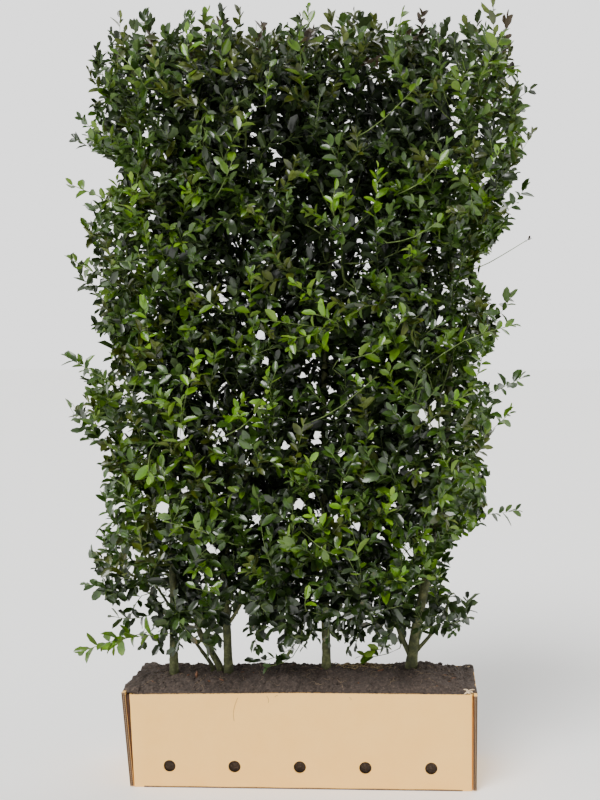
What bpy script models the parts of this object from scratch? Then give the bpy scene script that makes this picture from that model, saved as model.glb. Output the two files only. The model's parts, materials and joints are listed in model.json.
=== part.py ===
"""A holly hedge element: a row of stems grown as one leafy panel, in a cardboard trough of soil.

Lengths are in metres, +Z is up and the front faces -Y. The origin is the middle of the trough's
flat underside. Stems stand on the soil, boughs leave the stems, and each mass of foliage starts
at the tip of one limb and keeps to its own space inside the crown.
"""

import math
import random
from typing import NamedTuple

import bmesh
import bpy
import numpy as np
from mathutils import Matrix, Vector

# Trough: a tray folded from corrugated board, with a thicker board standing across each end
TRAY_LENGTH = 0.972
TRAY_DEPTH = 0.30
TRAY_HEIGHT = 0.27
TRAY_BOARD = 0.005
TRAY_CORNER_RADIUS = 0.007
TRAY_CORNER_STEPS = 3
VENT_COUNT = 5
VENT_DIAMETER = 0.035
VENT_SIDES = 10
VENT_CUT = 1.2  # the length of a vent's cutter as a share of the tray's depth
VENT_PITCH = 0.185
VENT_HEIGHT = 0.062
END_BOARD = 0.010
END_HEIGHT = 0.265
END_RAISE = 0.002
LEFT_END_SPLAY = math.radians(2.6)
RIGHT_END_SPLAY = math.radians(0.3)

# Soil: fills the tray and is heaped along the row of stems
SOIL_RIM_HEIGHT = 0.264
GROUND = 0.298
SOIL_SHOULDER = 0.034

# The gap that keeps touching pieces apart, and how much of it a saddle's cutter takes
GAP = 0.0003
SADDLE_GAP = 1.2 * GAP

# Crown: its edges as (height, x) where the outline turns, its depth and its ends
LEFT_EDGE = (
    (0.33, -0.52), (0.40, -0.62), (0.53, -0.57), (0.76, -0.60), (0.95, -0.60), (1.07, -0.69),
    (1.30, -0.64), (1.50, -0.685), (1.67, -0.60), (1.84, -0.66), (2.07, -0.63), (2.20, -0.57),
)
RIGHT_EDGE = (
    (0.33, 0.40), (0.46, 0.47), (0.60, 0.43), (0.76, 0.59), (0.97, 0.53), (1.16, 0.61),
    (1.27, 0.54), (1.40, 0.585), (1.67, 0.59), (1.84, 0.66), (2.07, 0.605), (2.20, 0.575),
)
CROWN_DEPTH = 0.48
CROWN_TOP = 2.20
CROWN_FOOT = 0.33
CROWN_SQUARENESS = 5

# Masses of foliage: four columns by four rows, each column stepped from its neighbours
COLUMNS = 4
ROW_HEIGHTS = {"low": 0.595, "waist": 1.03, "shoulder": 1.47, "top": 1.93}
COLUMN_STEP = 0.045
DEPTH_STEP = 0.08
MASS_SPACING = 0.004

# Twigs and leaves of a mass
TWIG_SIDES = 3
TWIG_OVERLAP = 0.004
LEADER_RADII = (0.0042, 0.0038, 0.0034, 0.0026)
COLLAR_LENGTH = 0.02
HEART_DROP = 0.02
HEART_SHARE = 0.85
HEAD_RISE = 0.115
HEAD_INWARD = 0.75
LATERALS = 9
LATERAL_FIRST = 0.16
LATERAL_REACH = 0.26
LATERAL_LEAST = 0.03
LATERAL_RADII = (0.0034, 0.0026)
LATERAL_RISE_FOOT = -42
LATERAL_RISE_HEAD = 66
LATERAL_RISE_SPREAD = 14
LATERAL_FLATTEN = 0.55
GOLDEN_ANGLE = math.radians(137.5)
REACH_STEP = 0.005
LEAF_LENGTH = 0.165
LEAF_WIDTH = 0.102
LEAF_THICKNESS = 0.0032
LEAF_FOLD = 0.009
LEAF_WIDEST = 0.44
LEAF_SINK = 0.0006
LEAF_SIZES = (0.86, 1.10)
LEAF_SPACING = 0.034
LEAVES_A_LATERAL = 3
LEAF_OUTERMOST = 0.98  # where a side twig's first leaf is, as a share of the twig
LEAF_STRETCH = 0.76  # how much of the side twig its leaves are spread over
FACE_ACROSS = (-0.7, 0.7)  # how a leaf's face leans: sideways, outwards and upwards
FACE_OUTWARD = (0.3, 1.7)
FACE_UPWARD = (0.2, 1.0)
LEAF_TRIES = 40
LEAF_APART = 0.0135
LEAF_SAMPLE_ROWS = np.linspace(0.12, 1.0, 8)
LEAF_FOOT_SAMPLES = 10
LEADER_SAMPLES = np.linspace(0.05, 1.0, 24)
LATERAL_SAMPLES = np.linspace(0.1, 0.9, 12)
LEAF_CLEARANCE = 0.014
TWIG_CLEARANCE = 0.008
LEAST_SLANT = 0.3
TIP_MARGINS = (0.86, 0.25)
TIP_SPREADS = (2, 26)
SIDE_SPREADS = (34, 105)

# Limbs: a curve's bevel resolution gives it 4 + 2 * resolution sides
STEM_RESOLUTION = 2
BOUGH_RESOLUTION = 1
STEM_RINGS = 8
BOUGH_RINGS = 4
CURVE_STEPS = 12
FLARE_HEIGHT = 0.045
FLARE = 1.35
BOUGH_TO_STEM = 0.62  # a bough's foot against its stem's radius there
BOUGH_LARGEST = 0.0062
BOUGH_TIP = 0.0040
BOUGH_BEND = 0.5  # where along its length a bough turns up, and by what share of its length
BOUGH_LIFT = 0.12
SEED = 11


class Limb(NamedTuple):
    """A stem that stands on the soil, or forks from another near the ground."""

    way: tuple  # points that it passes, from its foot to its tip
    foot_radius: float
    tip_radius: float
    parent: str = ""


class Bough(NamedTuple):
    """A side limb that carries one mass of foliage."""

    stem: str
    height: float
    bearing: float  # degrees, 0 towards +X and -90 towards the front
    rise: float  # degrees above level
    length: float


STEMS = {
    "stem_a": Limb(
        ((-0.388, -0.012, GROUND), (-0.392, -0.014, 0.75), (-0.386, 0.0, 1.25), (-0.425, 0.01, 1.79)),
        0.0125, 0.0050,
    ),
    "stem_b": Limb(
        ((-0.257, 0.012, GROUND), (-0.322, 0.020, 0.405), (-0.336, 0.022, 0.57), (-0.262, 0.02, 1.28)),
        0.0095, 0.0045,
    ),
    "stem_b_side": Limb(
        ((-0.284, 0.028, GROUND), (-0.364, 0.034, 0.405), (-0.430, 0.040, 0.495)), 0.0055, 0.0042
    ),
    "stem_c": Limb(
        ((-0.227, -0.004, GROUND), (-0.238, -0.006, 0.50), (-0.215, 0.0, 1.10), (-0.178, 0.01, 1.70)),
        0.0130, 0.0050,
    ),
    "stem_d": Limb(
        ((0.060, 0.004, GROUND), (0.058, 0.004, 0.70), (0.056, 0.012, 1.25), (0.096, 0.008, 1.79)),
        0.0133, 0.0050,
    ),
    "stem_e": Limb(
        (
            (0.311, 0.010, GROUND), (0.341, 0.010, 0.50), (0.392, 0.012, 0.72), (0.418, 0.008, 1.00),
            (0.436, 0.0, 1.69),
        ),
        0.0165, 0.0050,
    ),
    "stem_e_left": Limb(
        ((0.314, 0.010, 0.325), (0.275, 0.014, 0.415), (0.210, 0.020, 0.62), (0.172, 0.02, 0.85)),
        0.0080, 0.0042, "stem_e",
    ),
    "stem_e_right": Limb(
        ((0.322, 0.010, 0.345), (0.388, 0.004, 0.425), (0.420, -0.004, 0.495)), 0.0058, 0.0042, "stem_e"
    ),
}

BOUGHS = {
    "bough_waist_1": Bough("stem_a", 0.84, -150, 48, 0.125),
    "bough_shoulder_1": Bough("stem_a", 1.30, 155, 50, 0.125),
    "bough_low_2": Bough("stem_c", 0.425, -42, 44, 0.110),
    "bough_waist_2": Bough("stem_c", 0.80, 35, 50, 0.115),
    "bough_low_3": Bough("stem_d", 0.45, 40, 46, 0.120),
    "bough_shoulder_3": Bough("stem_d", 1.30, -40, 52, 0.115),
    "bough_waist_4": Bough("stem_e", 0.81, -35, 48, 0.110),
    "bough_shoulder_4": Bough("stem_e", 1.21, 38, 52, 0.115),
}

# Which limb's tip each mass grows from, row by row
CARRIERS = {
    "low": ("stem_b_side", "bough_low_2", "bough_low_3", "stem_e_right"),
    "waist": ("bough_waist_1", "bough_waist_2", "stem_e_left", "bough_waist_4"),
    "shoulder": ("bough_shoulder_1", "stem_b", "bough_shoulder_3", "bough_shoulder_4"),
    "top": ("stem_a", "stem_c", "stem_d", "stem_e"),
}


# Materials and collections


def make_material(name, colour, roughness):
    """A plain finish: one colour and one roughness, no metal."""
    material = bpy.data.materials.new(name)
    material.use_nodes = True
    shader = material.node_tree.nodes["Principled BSDF"]
    shader.inputs["Base Color"].default_value = (*colour, 1.0)
    shader.inputs["Roughness"].default_value = roughness
    shader.inputs["Metallic"].default_value = 0.0
    return material


def new_collection(name):
    """An empty collection in the scene."""
    collection = bpy.data.collections.new(name)
    bpy.context.scene.collection.children.link(collection)
    return collection


def add_object(name, mesh, material, collection):
    """An object that shows a mesh in one material."""
    mesh.materials.clear()
    mesh.materials.append(material)
    obj = bpy.data.objects.new(name, mesh)
    collection.objects.link(obj)
    return obj


def evaluated_mesh(obj):
    """A new mesh with the object's modifiers applied."""
    bpy.context.view_layer.update()
    graph = bpy.context.evaluated_depsgraph_get()
    return bpy.data.meshes.new_from_object(obj.evaluated_get(graph))


def box_mesh(name, size, centre):
    """A box of a given size about a centre."""
    bm = bmesh.new()
    bmesh.ops.create_cube(bm, size=1.0)
    bmesh.ops.scale(bm, vec=size, verts=bm.verts)
    bmesh.ops.translate(bm, vec=centre, verts=bm.verts)
    mesh = bpy.data.meshes.new(name)
    bm.to_mesh(mesh)
    bm.free()
    return mesh


# The crown's space and how it is shared


def crown_edges(height):
    """The crown's left and right x at a height."""
    left = np.interp(height, *zip(*LEFT_EDGE))
    right = np.interp(height, *zip(*RIGHT_EDGE))
    return left, right


def in_crown(points):
    """Which points lie inside the crown's outline, a slab with rounded corners."""
    left, right = crown_edges(points[:, 2])
    half_height = (CROWN_TOP - CROWN_FOOT) / 2
    level = (points[:, 2] - (CROWN_TOP + CROWN_FOOT) / 2) / half_height
    across = (points[:, 0] - (left + right) / 2) / ((right - left) / 2)
    deep = points[:, 1] / (CROWN_DEPTH / 2)
    section = np.abs(across) ** CROWN_SQUARENESS + np.abs(deep) ** CROWN_SQUARENESS
    return (section <= 1) & (np.abs(level) <= 1)


def mass_centres():
    """The centre of each mass: neighbours step up and down, and to the front and the back."""
    centres = {}
    for row_number, (row, height) in enumerate(ROW_HEIGHTS.items()):
        for column in range(COLUMNS):
            level = height + (COLUMN_STEP if column % 2 == 0 else -COLUMN_STEP)
            left, right = crown_edges(level)
            x = left + (right - left) * (column + 0.5) / COLUMNS
            y = DEPTH_STEP if (row_number + column) % 2 else -DEPTH_STEP
            centres[f"foliage_{row}_{column + 1}"] = np.array((x, y, level))
    return centres


def smooth_way(way, count):
    """Evenly spaced points on a smooth curve through the given points."""
    points = [Vector(p) for p in way]
    padded = [2 * points[0] - points[1], *points, 2 * points[-1] - points[-2]]
    dense = []
    for i in range(1, len(padded) - 2):
        a, b, c, d = padded[i - 1 : i + 3]
        for step in range(CURVE_STEPS):
            t = step / CURVE_STEPS
            dense.append(
                0.5 * (2 * b + (c - a) * t + (2 * a - 5 * b + 4 * c - d) * t**2
                       + (3 * b - 3 * c + d - a) * t**3)
            )
    dense.append(points[-1])
    travelled = np.concatenate(([0.0], np.cumsum([(q - p).length for p, q in zip(dense, dense[1:])])))
    wanted = np.linspace(0.0, travelled[-1], count)
    array = np.array([tuple(p) for p in dense])
    return np.stack([np.interp(wanted, travelled, array[:, k]) for k in range(3)], axis=1)


def stem_shape(limb):
    """A stem's points and radii: an even taper, with a flare where it meets the soil."""
    points = smooth_way(limb.way, STEM_RINGS)
    share = np.linspace(0.0, 1.0, STEM_RINGS)
    radii = limb.foot_radius + (limb.tip_radius - limb.foot_radius) * share
    if limb.parent:
        return points, radii
    flare_top = points[0] + (points[1] - points[0]) * FLARE_HEIGHT / (points[1][2] - points[0][2])
    points = np.insert(points, 1, flare_top, axis=0)
    radii = np.insert(radii, 1, radii[0])
    radii[0] *= FLARE
    return points, radii


def at_height(points, radii, height):
    """The centre and radius of a rising limb at a height."""
    centre = [np.interp(height, points[:, 2], points[:, k]) for k in range(2)]
    return Vector((*centre, height)), float(np.interp(height, points[:, 2], radii))


def bough_shape(bough, shapes):
    """A bough's points and radii: it leaves its stem's middle and turns gently upwards."""
    start, stem_radius = at_height(*shapes[bough.stem], bough.height)
    bearing, rise = math.radians(bough.bearing), math.radians(bough.rise)
    outward = Vector((math.cos(bearing), math.sin(bearing), 0.0)) * math.cos(rise)
    heading = outward + Vector((0.0, 0.0, math.sin(rise)))
    run = heading * bough.length
    lift = Vector((0.0, 0.0, BOUGH_LIFT * bough.length))
    points = smooth_way([start, start + run * BOUGH_BEND, start + run + lift], BOUGH_RINGS)
    foot_radius = min(BOUGH_TO_STEM * stem_radius, BOUGH_LARGEST)
    return points, np.linspace(foot_radius, BOUGH_TIP, BOUGH_RINGS)


class Keepout:
    """The space that limbs take, as round-ended rods."""

    def __init__(self, shapes):
        starts, ends, radii = [], [], []
        for points, sizes in shapes.values():
            starts.extend(points[:-1])
            ends.extend(points[1:])
            radii.extend(np.maximum(sizes[:-1], sizes[1:]))
        self.starts, self.ends, self.radii = np.array(starts), np.array(ends), np.array(radii)

    def clear(self, points, margin):
        """Whether every point stands at least a margin off every limb."""
        along = self.ends - self.starts
        offsets = points[:, None, :] - self.starts[None]
        share = np.clip((offsets * along).sum(2) / (along**2).sum(1), 0.0, 1.0)
        nearest = np.linalg.norm(offsets - share[..., None] * along, axis=2)
        return bool((nearest - self.radii > margin).all())


class Space:
    """The part of the crown that is nearer to one mass's centre than to any other's."""

    def __init__(self, name, centres, keepout):
        self.centre = centres[name]
        self.others = np.array([c for other, c in centres.items() if other != name])
        self.keepout = keepout

    def holds(self, points):
        """Which points are inside this mass's own space."""
        to_others = ((points[:, None, :] - self.others[None]) ** 2).sum(2)
        to_own = ((points - self.centre) ** 2).sum(1)
        apart = np.linalg.norm(self.others - self.centre, axis=1)
        past_border = (to_others - to_own[:, None]) / (2 * apart)
        return (past_border > MASS_SPACING / 2).all(axis=1) & in_crown(points)

    def reach(self, start, heading, longest):
        """How far a straight twig can run before it leaves the space or nears a limb."""
        distances = np.arange(REACH_STEP, longest + REACH_STEP, REACH_STEP)
        points = np.array(start) + distances[:, None] * np.array(heading)
        inside = self.holds(points)
        for distance, point, held in zip(distances, points, inside):
            if not held or not self.keepout.clear(point[None], TWIG_CLEARANCE):
                return distance - REACH_STEP
        return longest


# Twigs and leaves


def rod_between(start, end, radius_start, radius_end):
    """A closed tapering twig from one point to another."""
    run = end - start
    turn = run.to_track_quat("Z", "Y").to_matrix().to_4x4()
    bm = bmesh.new()
    bmesh.ops.create_cone(
        bm, cap_ends=True, segments=TWIG_SIDES, radius1=radius_start, radius2=radius_end,
        depth=run.length, matrix=Matrix.Translation((start + end) / 2) @ turn,
    )
    mesh = bpy.data.meshes.new("twig")
    bm.to_mesh(mesh)
    bm.free()
    return mesh


def leaf_corners(base, heading, up, size):
    """Base, tip, two sides, upper and lower middle of a leaf whose face turns towards up."""
    length, width = LEAF_LENGTH * size, LEAF_WIDTH * size
    side = heading.cross(up).normalized()
    face = side.cross(heading)
    middle = base + heading * length * LEAF_WIDEST
    edge, fold, half = side * width / 2, face * LEAF_FOLD, face * LEAF_THICKNESS / 2
    sides = (middle - edge + fold, middle + edge + fold)
    return [base, base + heading * length, *sides, middle + half, middle - half]


def leaf_mesh(corners):
    """An eight-faced leaf: an octahedron whose corners are moved to the leaf's own."""
    bm = bmesh.new()
    bmesh.ops.create_uvsphere(bm, u_segments=4, v_segments=2, radius=1.0)
    base, tip, left, right, upper, lower = corners
    for vert in bm.verts:
        x, y, z = (round(value) for value in vert.co)
        vert.co = {(0, 0, -1): base, (0, 0, 1): tip, (-1, 0, 0): left,
                   (1, 0, 0): right, (0, 1, 0): upper, (0, -1, 0): lower}[(x, y, z)]
    if bm.calc_volume(signed=True) < 0:
        bmesh.ops.reverse_faces(bm, faces=bm.faces)
    mesh = bpy.data.meshes.new("leaf")
    bm.to_mesh(mesh)
    bm.free()
    return mesh


def leaf_samples(corners):
    """Points spread over a leaf, close enough together for a clearance test."""
    base, tip, left, right, upper, _ = (np.array(c) for c in corners)
    rows = []
    for share in LEAF_SAMPLE_ROWS:
        if share <= LEAF_WIDEST:
            t = share / LEAF_WIDEST
            edges = base + (left - base) * t, base + (right - base) * t
            middle = base + (upper - base) * t
        else:
            t = (share - LEAF_WIDEST) / (1 - LEAF_WIDEST)
            edges = left + (tip - left) * t, right + (tip - right) * t
            middle = upper + (tip - upper) * t
        rows += [edges[0], (edges[0] + middle) / 2, middle, (edges[1] + middle) / 2, edges[1]]
    return np.array(rows)


def square_to(heading, turn):
    """A unit vector square to a heading, turned round it by an angle."""
    return Matrix.Rotation(turn, 3, heading) @ heading.orthogonal().normalized()


class Grown:
    """What has grown in a mass so far: leaves don't cross each other or another twig."""

    def __init__(self):
        self.points = np.empty((0, 3))

    def add(self, points):
        """Takes note of points on a new leaf or twig."""
        self.points = np.concatenate((self.points, points))

    def clear(self, samples):
        """Whether a leaf stands off everything grown so far, its own foot left out."""
        blade = samples[LEAF_FOOT_SAMPLES:]
        if not len(self.points):
            return True
        return np.linalg.norm(blade[:, None, :] - self.points[None], axis=2).min() > LEAF_APART


def try_leaf(space, grown, node, twig_heading, spreads, roll, rng):
    """A leaf's mesh at a node of a twig, or None if no try stays in the space and clear of the rest."""
    for attempt in range(LEAF_TRIES):
        spread = math.radians(rng.uniform(*spreads))
        side = square_to(twig_heading, roll + attempt * GOLDEN_ANGLE)
        heading = twig_heading * math.cos(spread) + side * math.sin(spread)
        outward = 1 if node.y + heading.y * LEAF_LENGTH > 0 else -1
        up = Vector(
            (rng.uniform(*FACE_ACROSS), outward * rng.uniform(*FACE_OUTWARD), rng.uniform(*FACE_UPWARD))
        )
        if heading.cross(up).length < LEAST_SLANT * up.length:
            up = square_to(heading, roll)
        corners = leaf_corners(node - heading * LEAF_SINK, heading, up, rng.uniform(*LEAF_SIZES))
        samples = leaf_samples(corners)
        inside = space.holds(samples).all() and space.keepout.clear(samples, LEAF_CLEARANCE)
        if inside and grown.clear(samples):
            grown.add(samples)
            return leaf_mesh(corners)
    return None


def point_along(way, distance):
    """The point at a distance along a bent twig."""
    for start, end in zip(way, way[1:]):
        run = end - start
        if distance <= run.length:
            return start + run.normalized() * distance
        distance -= run.length
    return way[-1]


def leader_way(root, root_heading, space):
    """A mass's main twig: straight out of its limb, to the heart of its space and up to its head."""
    start = root + root_heading * GAP
    collar = start + root_heading * COLLAR_LENGTH
    centre = Vector(space.centre)
    heart = root + (centre - Vector((0.0, 0.0, HEART_DROP)) - root) * HEART_SHARE
    head = Vector((centre.x, heart.y * HEAD_INWARD, centre.z + HEAD_RISE))
    return [start, collar, heart, head]


def leader_twigs(way):
    """The main twig as rods that overlap at its bends."""
    rods = []
    for i, (start, end) in enumerate(zip(way, way[1:])):
        heading = (end - start).normalized()
        foot = start if i == 0 else start - heading * TWIG_OVERLAP
        rods.append(rod_between(foot, end + heading * TWIG_OVERLAP, LEADER_RADII[i], LEADER_RADII[i + 1]))
    return rods


def lateral_heading(index, phase, rng):
    """Side twigs turn by the golden angle and rise more steeply towards the head."""
    turn = phase + index * GOLDEN_ANGLE
    climb = LATERAL_RISE_FOOT + (LATERAL_RISE_HEAD - LATERAL_RISE_FOOT) * index / (LATERALS - 1)
    rise = math.radians(climb + rng.uniform(-LATERAL_RISE_SPREAD, LATERAL_RISE_SPREAD))
    level = Vector((math.cos(turn), math.sin(turn) * LATERAL_FLATTEN, 0.0)).normalized()
    return level * math.cos(rise) + Vector((0.0, 0.0, math.sin(rise)))


def grow_mass(root, root_heading, space, rng):
    """The twigs and leaves of one mass, as closed meshes that overlap where they join."""
    way = leader_way(root, root_heading, space)
    length = sum((end - start).length for start, end in zip(way, way[1:]))
    meshes = leader_twigs(way)
    grown = Grown()
    grown.add(np.array([point_along(way, length * share) for share in LEADER_SAMPLES]))
    phase = rng.uniform(0, 2 * math.pi)
    laterals = []
    for i in range(LATERALS):
        share = LATERAL_FIRST + (1 - LATERAL_FIRST) * i / (LATERALS - 1)
        node = point_along(way, length * share)
        heading = lateral_heading(i, phase, rng)
        free = space.reach(node + heading * LATERAL_LEAST / 2, heading, LATERAL_REACH)
        margin = TIP_MARGINS[i % len(TIP_MARGINS)]
        run = max(free - LEAF_LENGTH * margin, min(free, LATERAL_LEAST))
        if run < LATERAL_LEAST / 2:
            continue
        meshes.append(rod_between(node, node + heading * run, *LATERAL_RADII))
        grown.add(np.array([node + heading * run * share for share in LATERAL_SAMPLES]))
        laterals.append((node, heading, run))
    for k in range(LEAVES_A_LATERAL + 1):
        for i, (node, heading, run) in enumerate(laterals):
            count = min(LEAVES_A_LATERAL, 1 + round(run / LEAF_SPACING))
            if k > count:
                continue
            place = node + heading * run * (LEAF_OUTERMOST - LEAF_STRETCH * k / (count + 1))
            spreads = TIP_SPREADS if k == 0 and i % len(TIP_MARGINS) == 0 else SIDE_SPREADS
            roll = phase + (i + k) * GOLDEN_ANGLE
            leaf = try_leaf(space, grown, place, heading, spreads, roll, rng)
            if leaf:
                meshes.append(leaf)
    return meshes


def biggest_shell(mesh):
    """Drops every shell of a mesh but the biggest: sealed hollows are filled, loose scraps go."""
    bm = bmesh.new()
    bm.from_mesh(mesh)
    unseen = set(bm.verts)
    shells = []
    while unseen:
        front = [unseen.pop()]
        shell = list(front)
        while front:
            vert = front.pop()
            for edge in vert.link_edges:
                other = edge.other_vert(vert)
                if other in unseen:
                    unseen.remove(other)
                    front.append(other)
                    shell.append(other)
        shells.append(shell)
    shells.sort(key=len)
    bmesh.ops.delete(bm, geom=[v for shell in shells[:-1] for v in shell], context="VERTS")
    bm.to_mesh(mesh)
    bm.free()


def fuse(name, meshes, material, collection):
    """Joins overlapping closed meshes into one solid object by one Boolean union."""
    tools = new_collection(f"{name}_pieces")
    for mesh in meshes[1:]:
        tools.objects.link(bpy.data.objects.new("piece", mesh))
    body = add_object(name, meshes[0], material, collection)
    union = body.modifiers.new("union", "BOOLEAN")
    union.operation = "UNION"
    union.operand_type = "COLLECTION"
    union.collection = tools
    union.solver = "MANIFOLD"
    fused = evaluated_mesh(body)
    body.modifiers.clear()
    biggest_shell(fused)
    body.data = fused
    fused.materials.clear()
    fused.materials.append(material)
    for piece in list(tools.objects):
        bpy.data.objects.remove(piece)
    bpy.data.collections.remove(tools)
    return body


# Limbs


def limb_curve(name, points, radii, resolution):
    """A limb as a curve with a round section whose radius follows its points."""
    curve = bpy.data.curves.new(name, "CURVE")
    curve.dimensions = "3D"
    curve.bevel_depth = 1.0
    curve.bevel_resolution = resolution
    curve.use_fill_caps = True
    spline = curve.splines.new("POLY")
    spline.points.add(len(points) - 1)
    for point, place, radius in zip(spline.points, points, radii):
        point.co = (*place, 1.0)
        point.radius = radius
    return curve


def limb_mesh(name, points, radii, resolution):
    """A limb's closed mesh, with its caps welded to its sides."""
    obj = bpy.data.objects.new(name, limb_curve(name, points, radii, resolution))
    bpy.context.scene.collection.objects.link(obj)
    mesh = evaluated_mesh(obj)
    curve = obj.data
    bpy.data.objects.remove(obj)
    bpy.data.curves.remove(curve)
    bm = bmesh.new()
    bm.from_mesh(mesh)
    bmesh.ops.remove_doubles(bm, verts=bm.verts, dist=0.00001)
    bmesh.ops.recalc_face_normals(bm, faces=bm.faces)
    bm.to_mesh(mesh)
    bm.free()
    mesh.shade_smooth()
    return mesh


def level_foot(mesh, height):
    """Turns the flat cut at a stem's foot level with the soil."""
    sides = 4 + 2 * STEM_RESOLUTION
    for vert in sorted(mesh.vertices, key=lambda v: v.co.z)[:sides]:
        vert.co.z = height


def cut_by_limb(obj, parent_shape, resolution, cutters):
    """Saddles the foot of a limb on the limb that carries it."""
    points, radii = parent_shape
    mesh = limb_mesh("cutter", points, radii + SADDLE_GAP, resolution)
    cutter = bpy.data.objects.new(f"{obj.name}_cutter", mesh)
    cutter.hide_render = True
    cutter.display_type = "WIRE"
    cutters.objects.link(cutter)
    cut = obj.modifiers.new("saddle", "BOOLEAN")
    cut.operation = "DIFFERENCE"
    cut.object = cutter
    return cutter


def make_limbs(shapes, bark, plant, cutters):
    """Every stem and bough as its own tapering solid."""
    for name, (points, radii) in shapes.items():
        limb = STEMS.get(name)
        standing = limb is not None and not limb.parent
        resolution = STEM_RESOLUTION if limb else BOUGH_RESOLUTION
        mesh = limb_mesh(name, points, radii, resolution)
        if standing:
            level_foot(mesh, GROUND + GAP)
        obj = add_object(name, mesh, bark, plant)
        if not standing:
            parent = limb.parent if limb else BOUGHS[name].stem
            cut_by_limb(obj, shapes[parent], STEM_RESOLUTION, cutters)


# Trough and soil


def make_tray(board, plant, cutters):
    """The folded tray: five faces of one sheet, vented at the front and the back."""
    tray = add_object(
        "carton_tray",
        box_mesh("carton_tray", (TRAY_LENGTH, TRAY_DEPTH, TRAY_HEIGHT), (0, 0, TRAY_HEIGHT / 2)),
        board,
        plant,
    )
    bm = bmesh.new()
    bm.from_mesh(tray.data)
    uprights = [e for e in bm.edges if abs(e.verts[0].co.z - e.verts[1].co.z) > TRAY_HEIGHT / 2]
    bmesh.ops.bevel(
        bm, geom=uprights, offset=TRAY_CORNER_RADIUS, segments=TRAY_CORNER_STEPS, affect="EDGES", profile=0.5
    )
    bm.to_mesh(tray.data)
    bm.free()
    hollow = box_mesh(
        "hollow",
        (TRAY_LENGTH - 2 * TRAY_BOARD, TRAY_DEPTH - 2 * TRAY_BOARD, TRAY_HEIGHT),
        (0, 0, TRAY_HEIGHT / 2 + TRAY_BOARD),
    )
    tools = [bpy.data.objects.new("tray_hollow", hollow)]
    for i in range(VENT_COUNT):
        bm = bmesh.new()
        x = (i - (VENT_COUNT - 1) / 2) * VENT_PITCH
        place = Matrix.Translation((x, 0, VENT_HEIGHT)) @ Matrix.Rotation(math.pi / 2, 4, "X")
        bmesh.ops.create_cone(
            bm, cap_ends=True, segments=VENT_SIDES, radius1=VENT_DIAMETER / 2, radius2=VENT_DIAMETER / 2,
            depth=TRAY_DEPTH * VENT_CUT, matrix=place,
        )
        mesh = bpy.data.meshes.new("vent")
        bm.to_mesh(mesh)
        bm.free()
        tools.append(bpy.data.objects.new(f"tray_vent_{i + 1}", mesh))
    for tool in tools:
        tool.hide_render = True
        tool.display_type = "WIRE"
        cutters.objects.link(tool)
        cut = tray.modifiers.new(tool.name, "BOOLEAN")
        cut.operation = "DIFFERENCE"
        cut.object = tool


def make_ends(board, plant):
    """The thick boards across the tray's ends, leaning out a little at their tops."""
    for name, side, splay in (
        ("carton_end_left", -1, LEFT_END_SPLAY),
        ("carton_end_right", 1, RIGHT_END_SPLAY),
    ):
        size = (END_BOARD, TRAY_DEPTH, END_HEIGHT)
        mesh = box_mesh(name, size, (side * END_BOARD / 2, 0, END_HEIGHT / 2))
        obj = add_object(name, mesh, board, plant)
        obj.location = (side * (TRAY_LENGTH / 2 + GAP), 0, END_RAISE)
        obj.rotation_euler = (0, side * splay, 0)


def make_soil(earth, plant):
    """The soil: a block in the tray, heaped to a flat crest where the stems stand."""
    clearance = TRAY_BOARD + GAP
    length, depth = TRAY_LENGTH - 2 * clearance, TRAY_DEPTH - 2 * clearance
    height = SOIL_RIM_HEIGHT - clearance
    mesh = box_mesh("soil", (length, depth, height), (0, 0, clearance + height / 2))
    bm = bmesh.new()
    bm.from_mesh(mesh)
    top = max(bm.faces, key=lambda f: f.calc_center_median().z)
    bmesh.ops.inset_region(bm, faces=[top], thickness=SOIL_SHOULDER)
    bmesh.ops.translate(bm, vec=(0, 0, GROUND - SOIL_RIM_HEIGHT), verts=top.verts)
    bm.to_mesh(mesh)
    bm.free()
    add_object("soil", mesh, earth, plant)


def main():
    """Clears the scene and builds the trough, the soil, the limbs and the foliage."""
    for obj in list(bpy.data.objects):
        bpy.data.objects.remove(obj)
    plant = new_collection("holly_hedge")
    cutters = new_collection("cutters")
    board = make_material("corrugated_board", (0.68, 0.50, 0.31), 0.85)
    earth = make_material("potting_soil", (0.045, 0.032, 0.026), 1.0)
    bark = make_material("green_bark", (0.10, 0.12, 0.055), 0.7)
    leafage = make_material("holly_leaves", (0.035, 0.11, 0.02), 0.35)

    make_tray(board, plant, cutters)
    make_ends(board, plant)
    make_soil(earth, plant)

    shapes = {name: stem_shape(limb) for name, limb in STEMS.items()}
    for name, bough in BOUGHS.items():
        shapes[name] = bough_shape(bough, shapes)
    make_limbs(shapes, bark, plant, cutters)

    centres = mass_centres()
    keepout = Keepout(shapes)
    rng = random.Random(SEED)
    for row, carriers in CARRIERS.items():
        for column, carrier in enumerate(carriers):
            name = f"foliage_{row}_{column + 1}"
            points, _ = shapes[carrier]
            root = Vector(points[-1])
            heading = (root - Vector(points[-2])).normalized()
            space = Space(name, centres, keepout)
            fuse(name, grow_mass(root, heading, space, rng), leafage, plant)


main()
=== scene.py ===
"""Looks of a boxed holly hedge element: leaves, twigs, bark, soil and corrugated board.

Lengths are in metres unless a name or comment says millimetres, +Z is up and the front faces -Y.
The crown grows by the same rule as the solids that it stands for, carried on to finer twigs and
leaves of the real size.
"""

from __future__ import annotations

import json
import logging
import math
from dataclasses import dataclass, field
from enum import Enum
from typing import NamedTuple

import bmesh
import bpy
import numpy as np
from bpy.types import Material, Mesh, Node, NodeSocket, NodeTree, Object
from mathutils import Matrix, Vector

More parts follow.
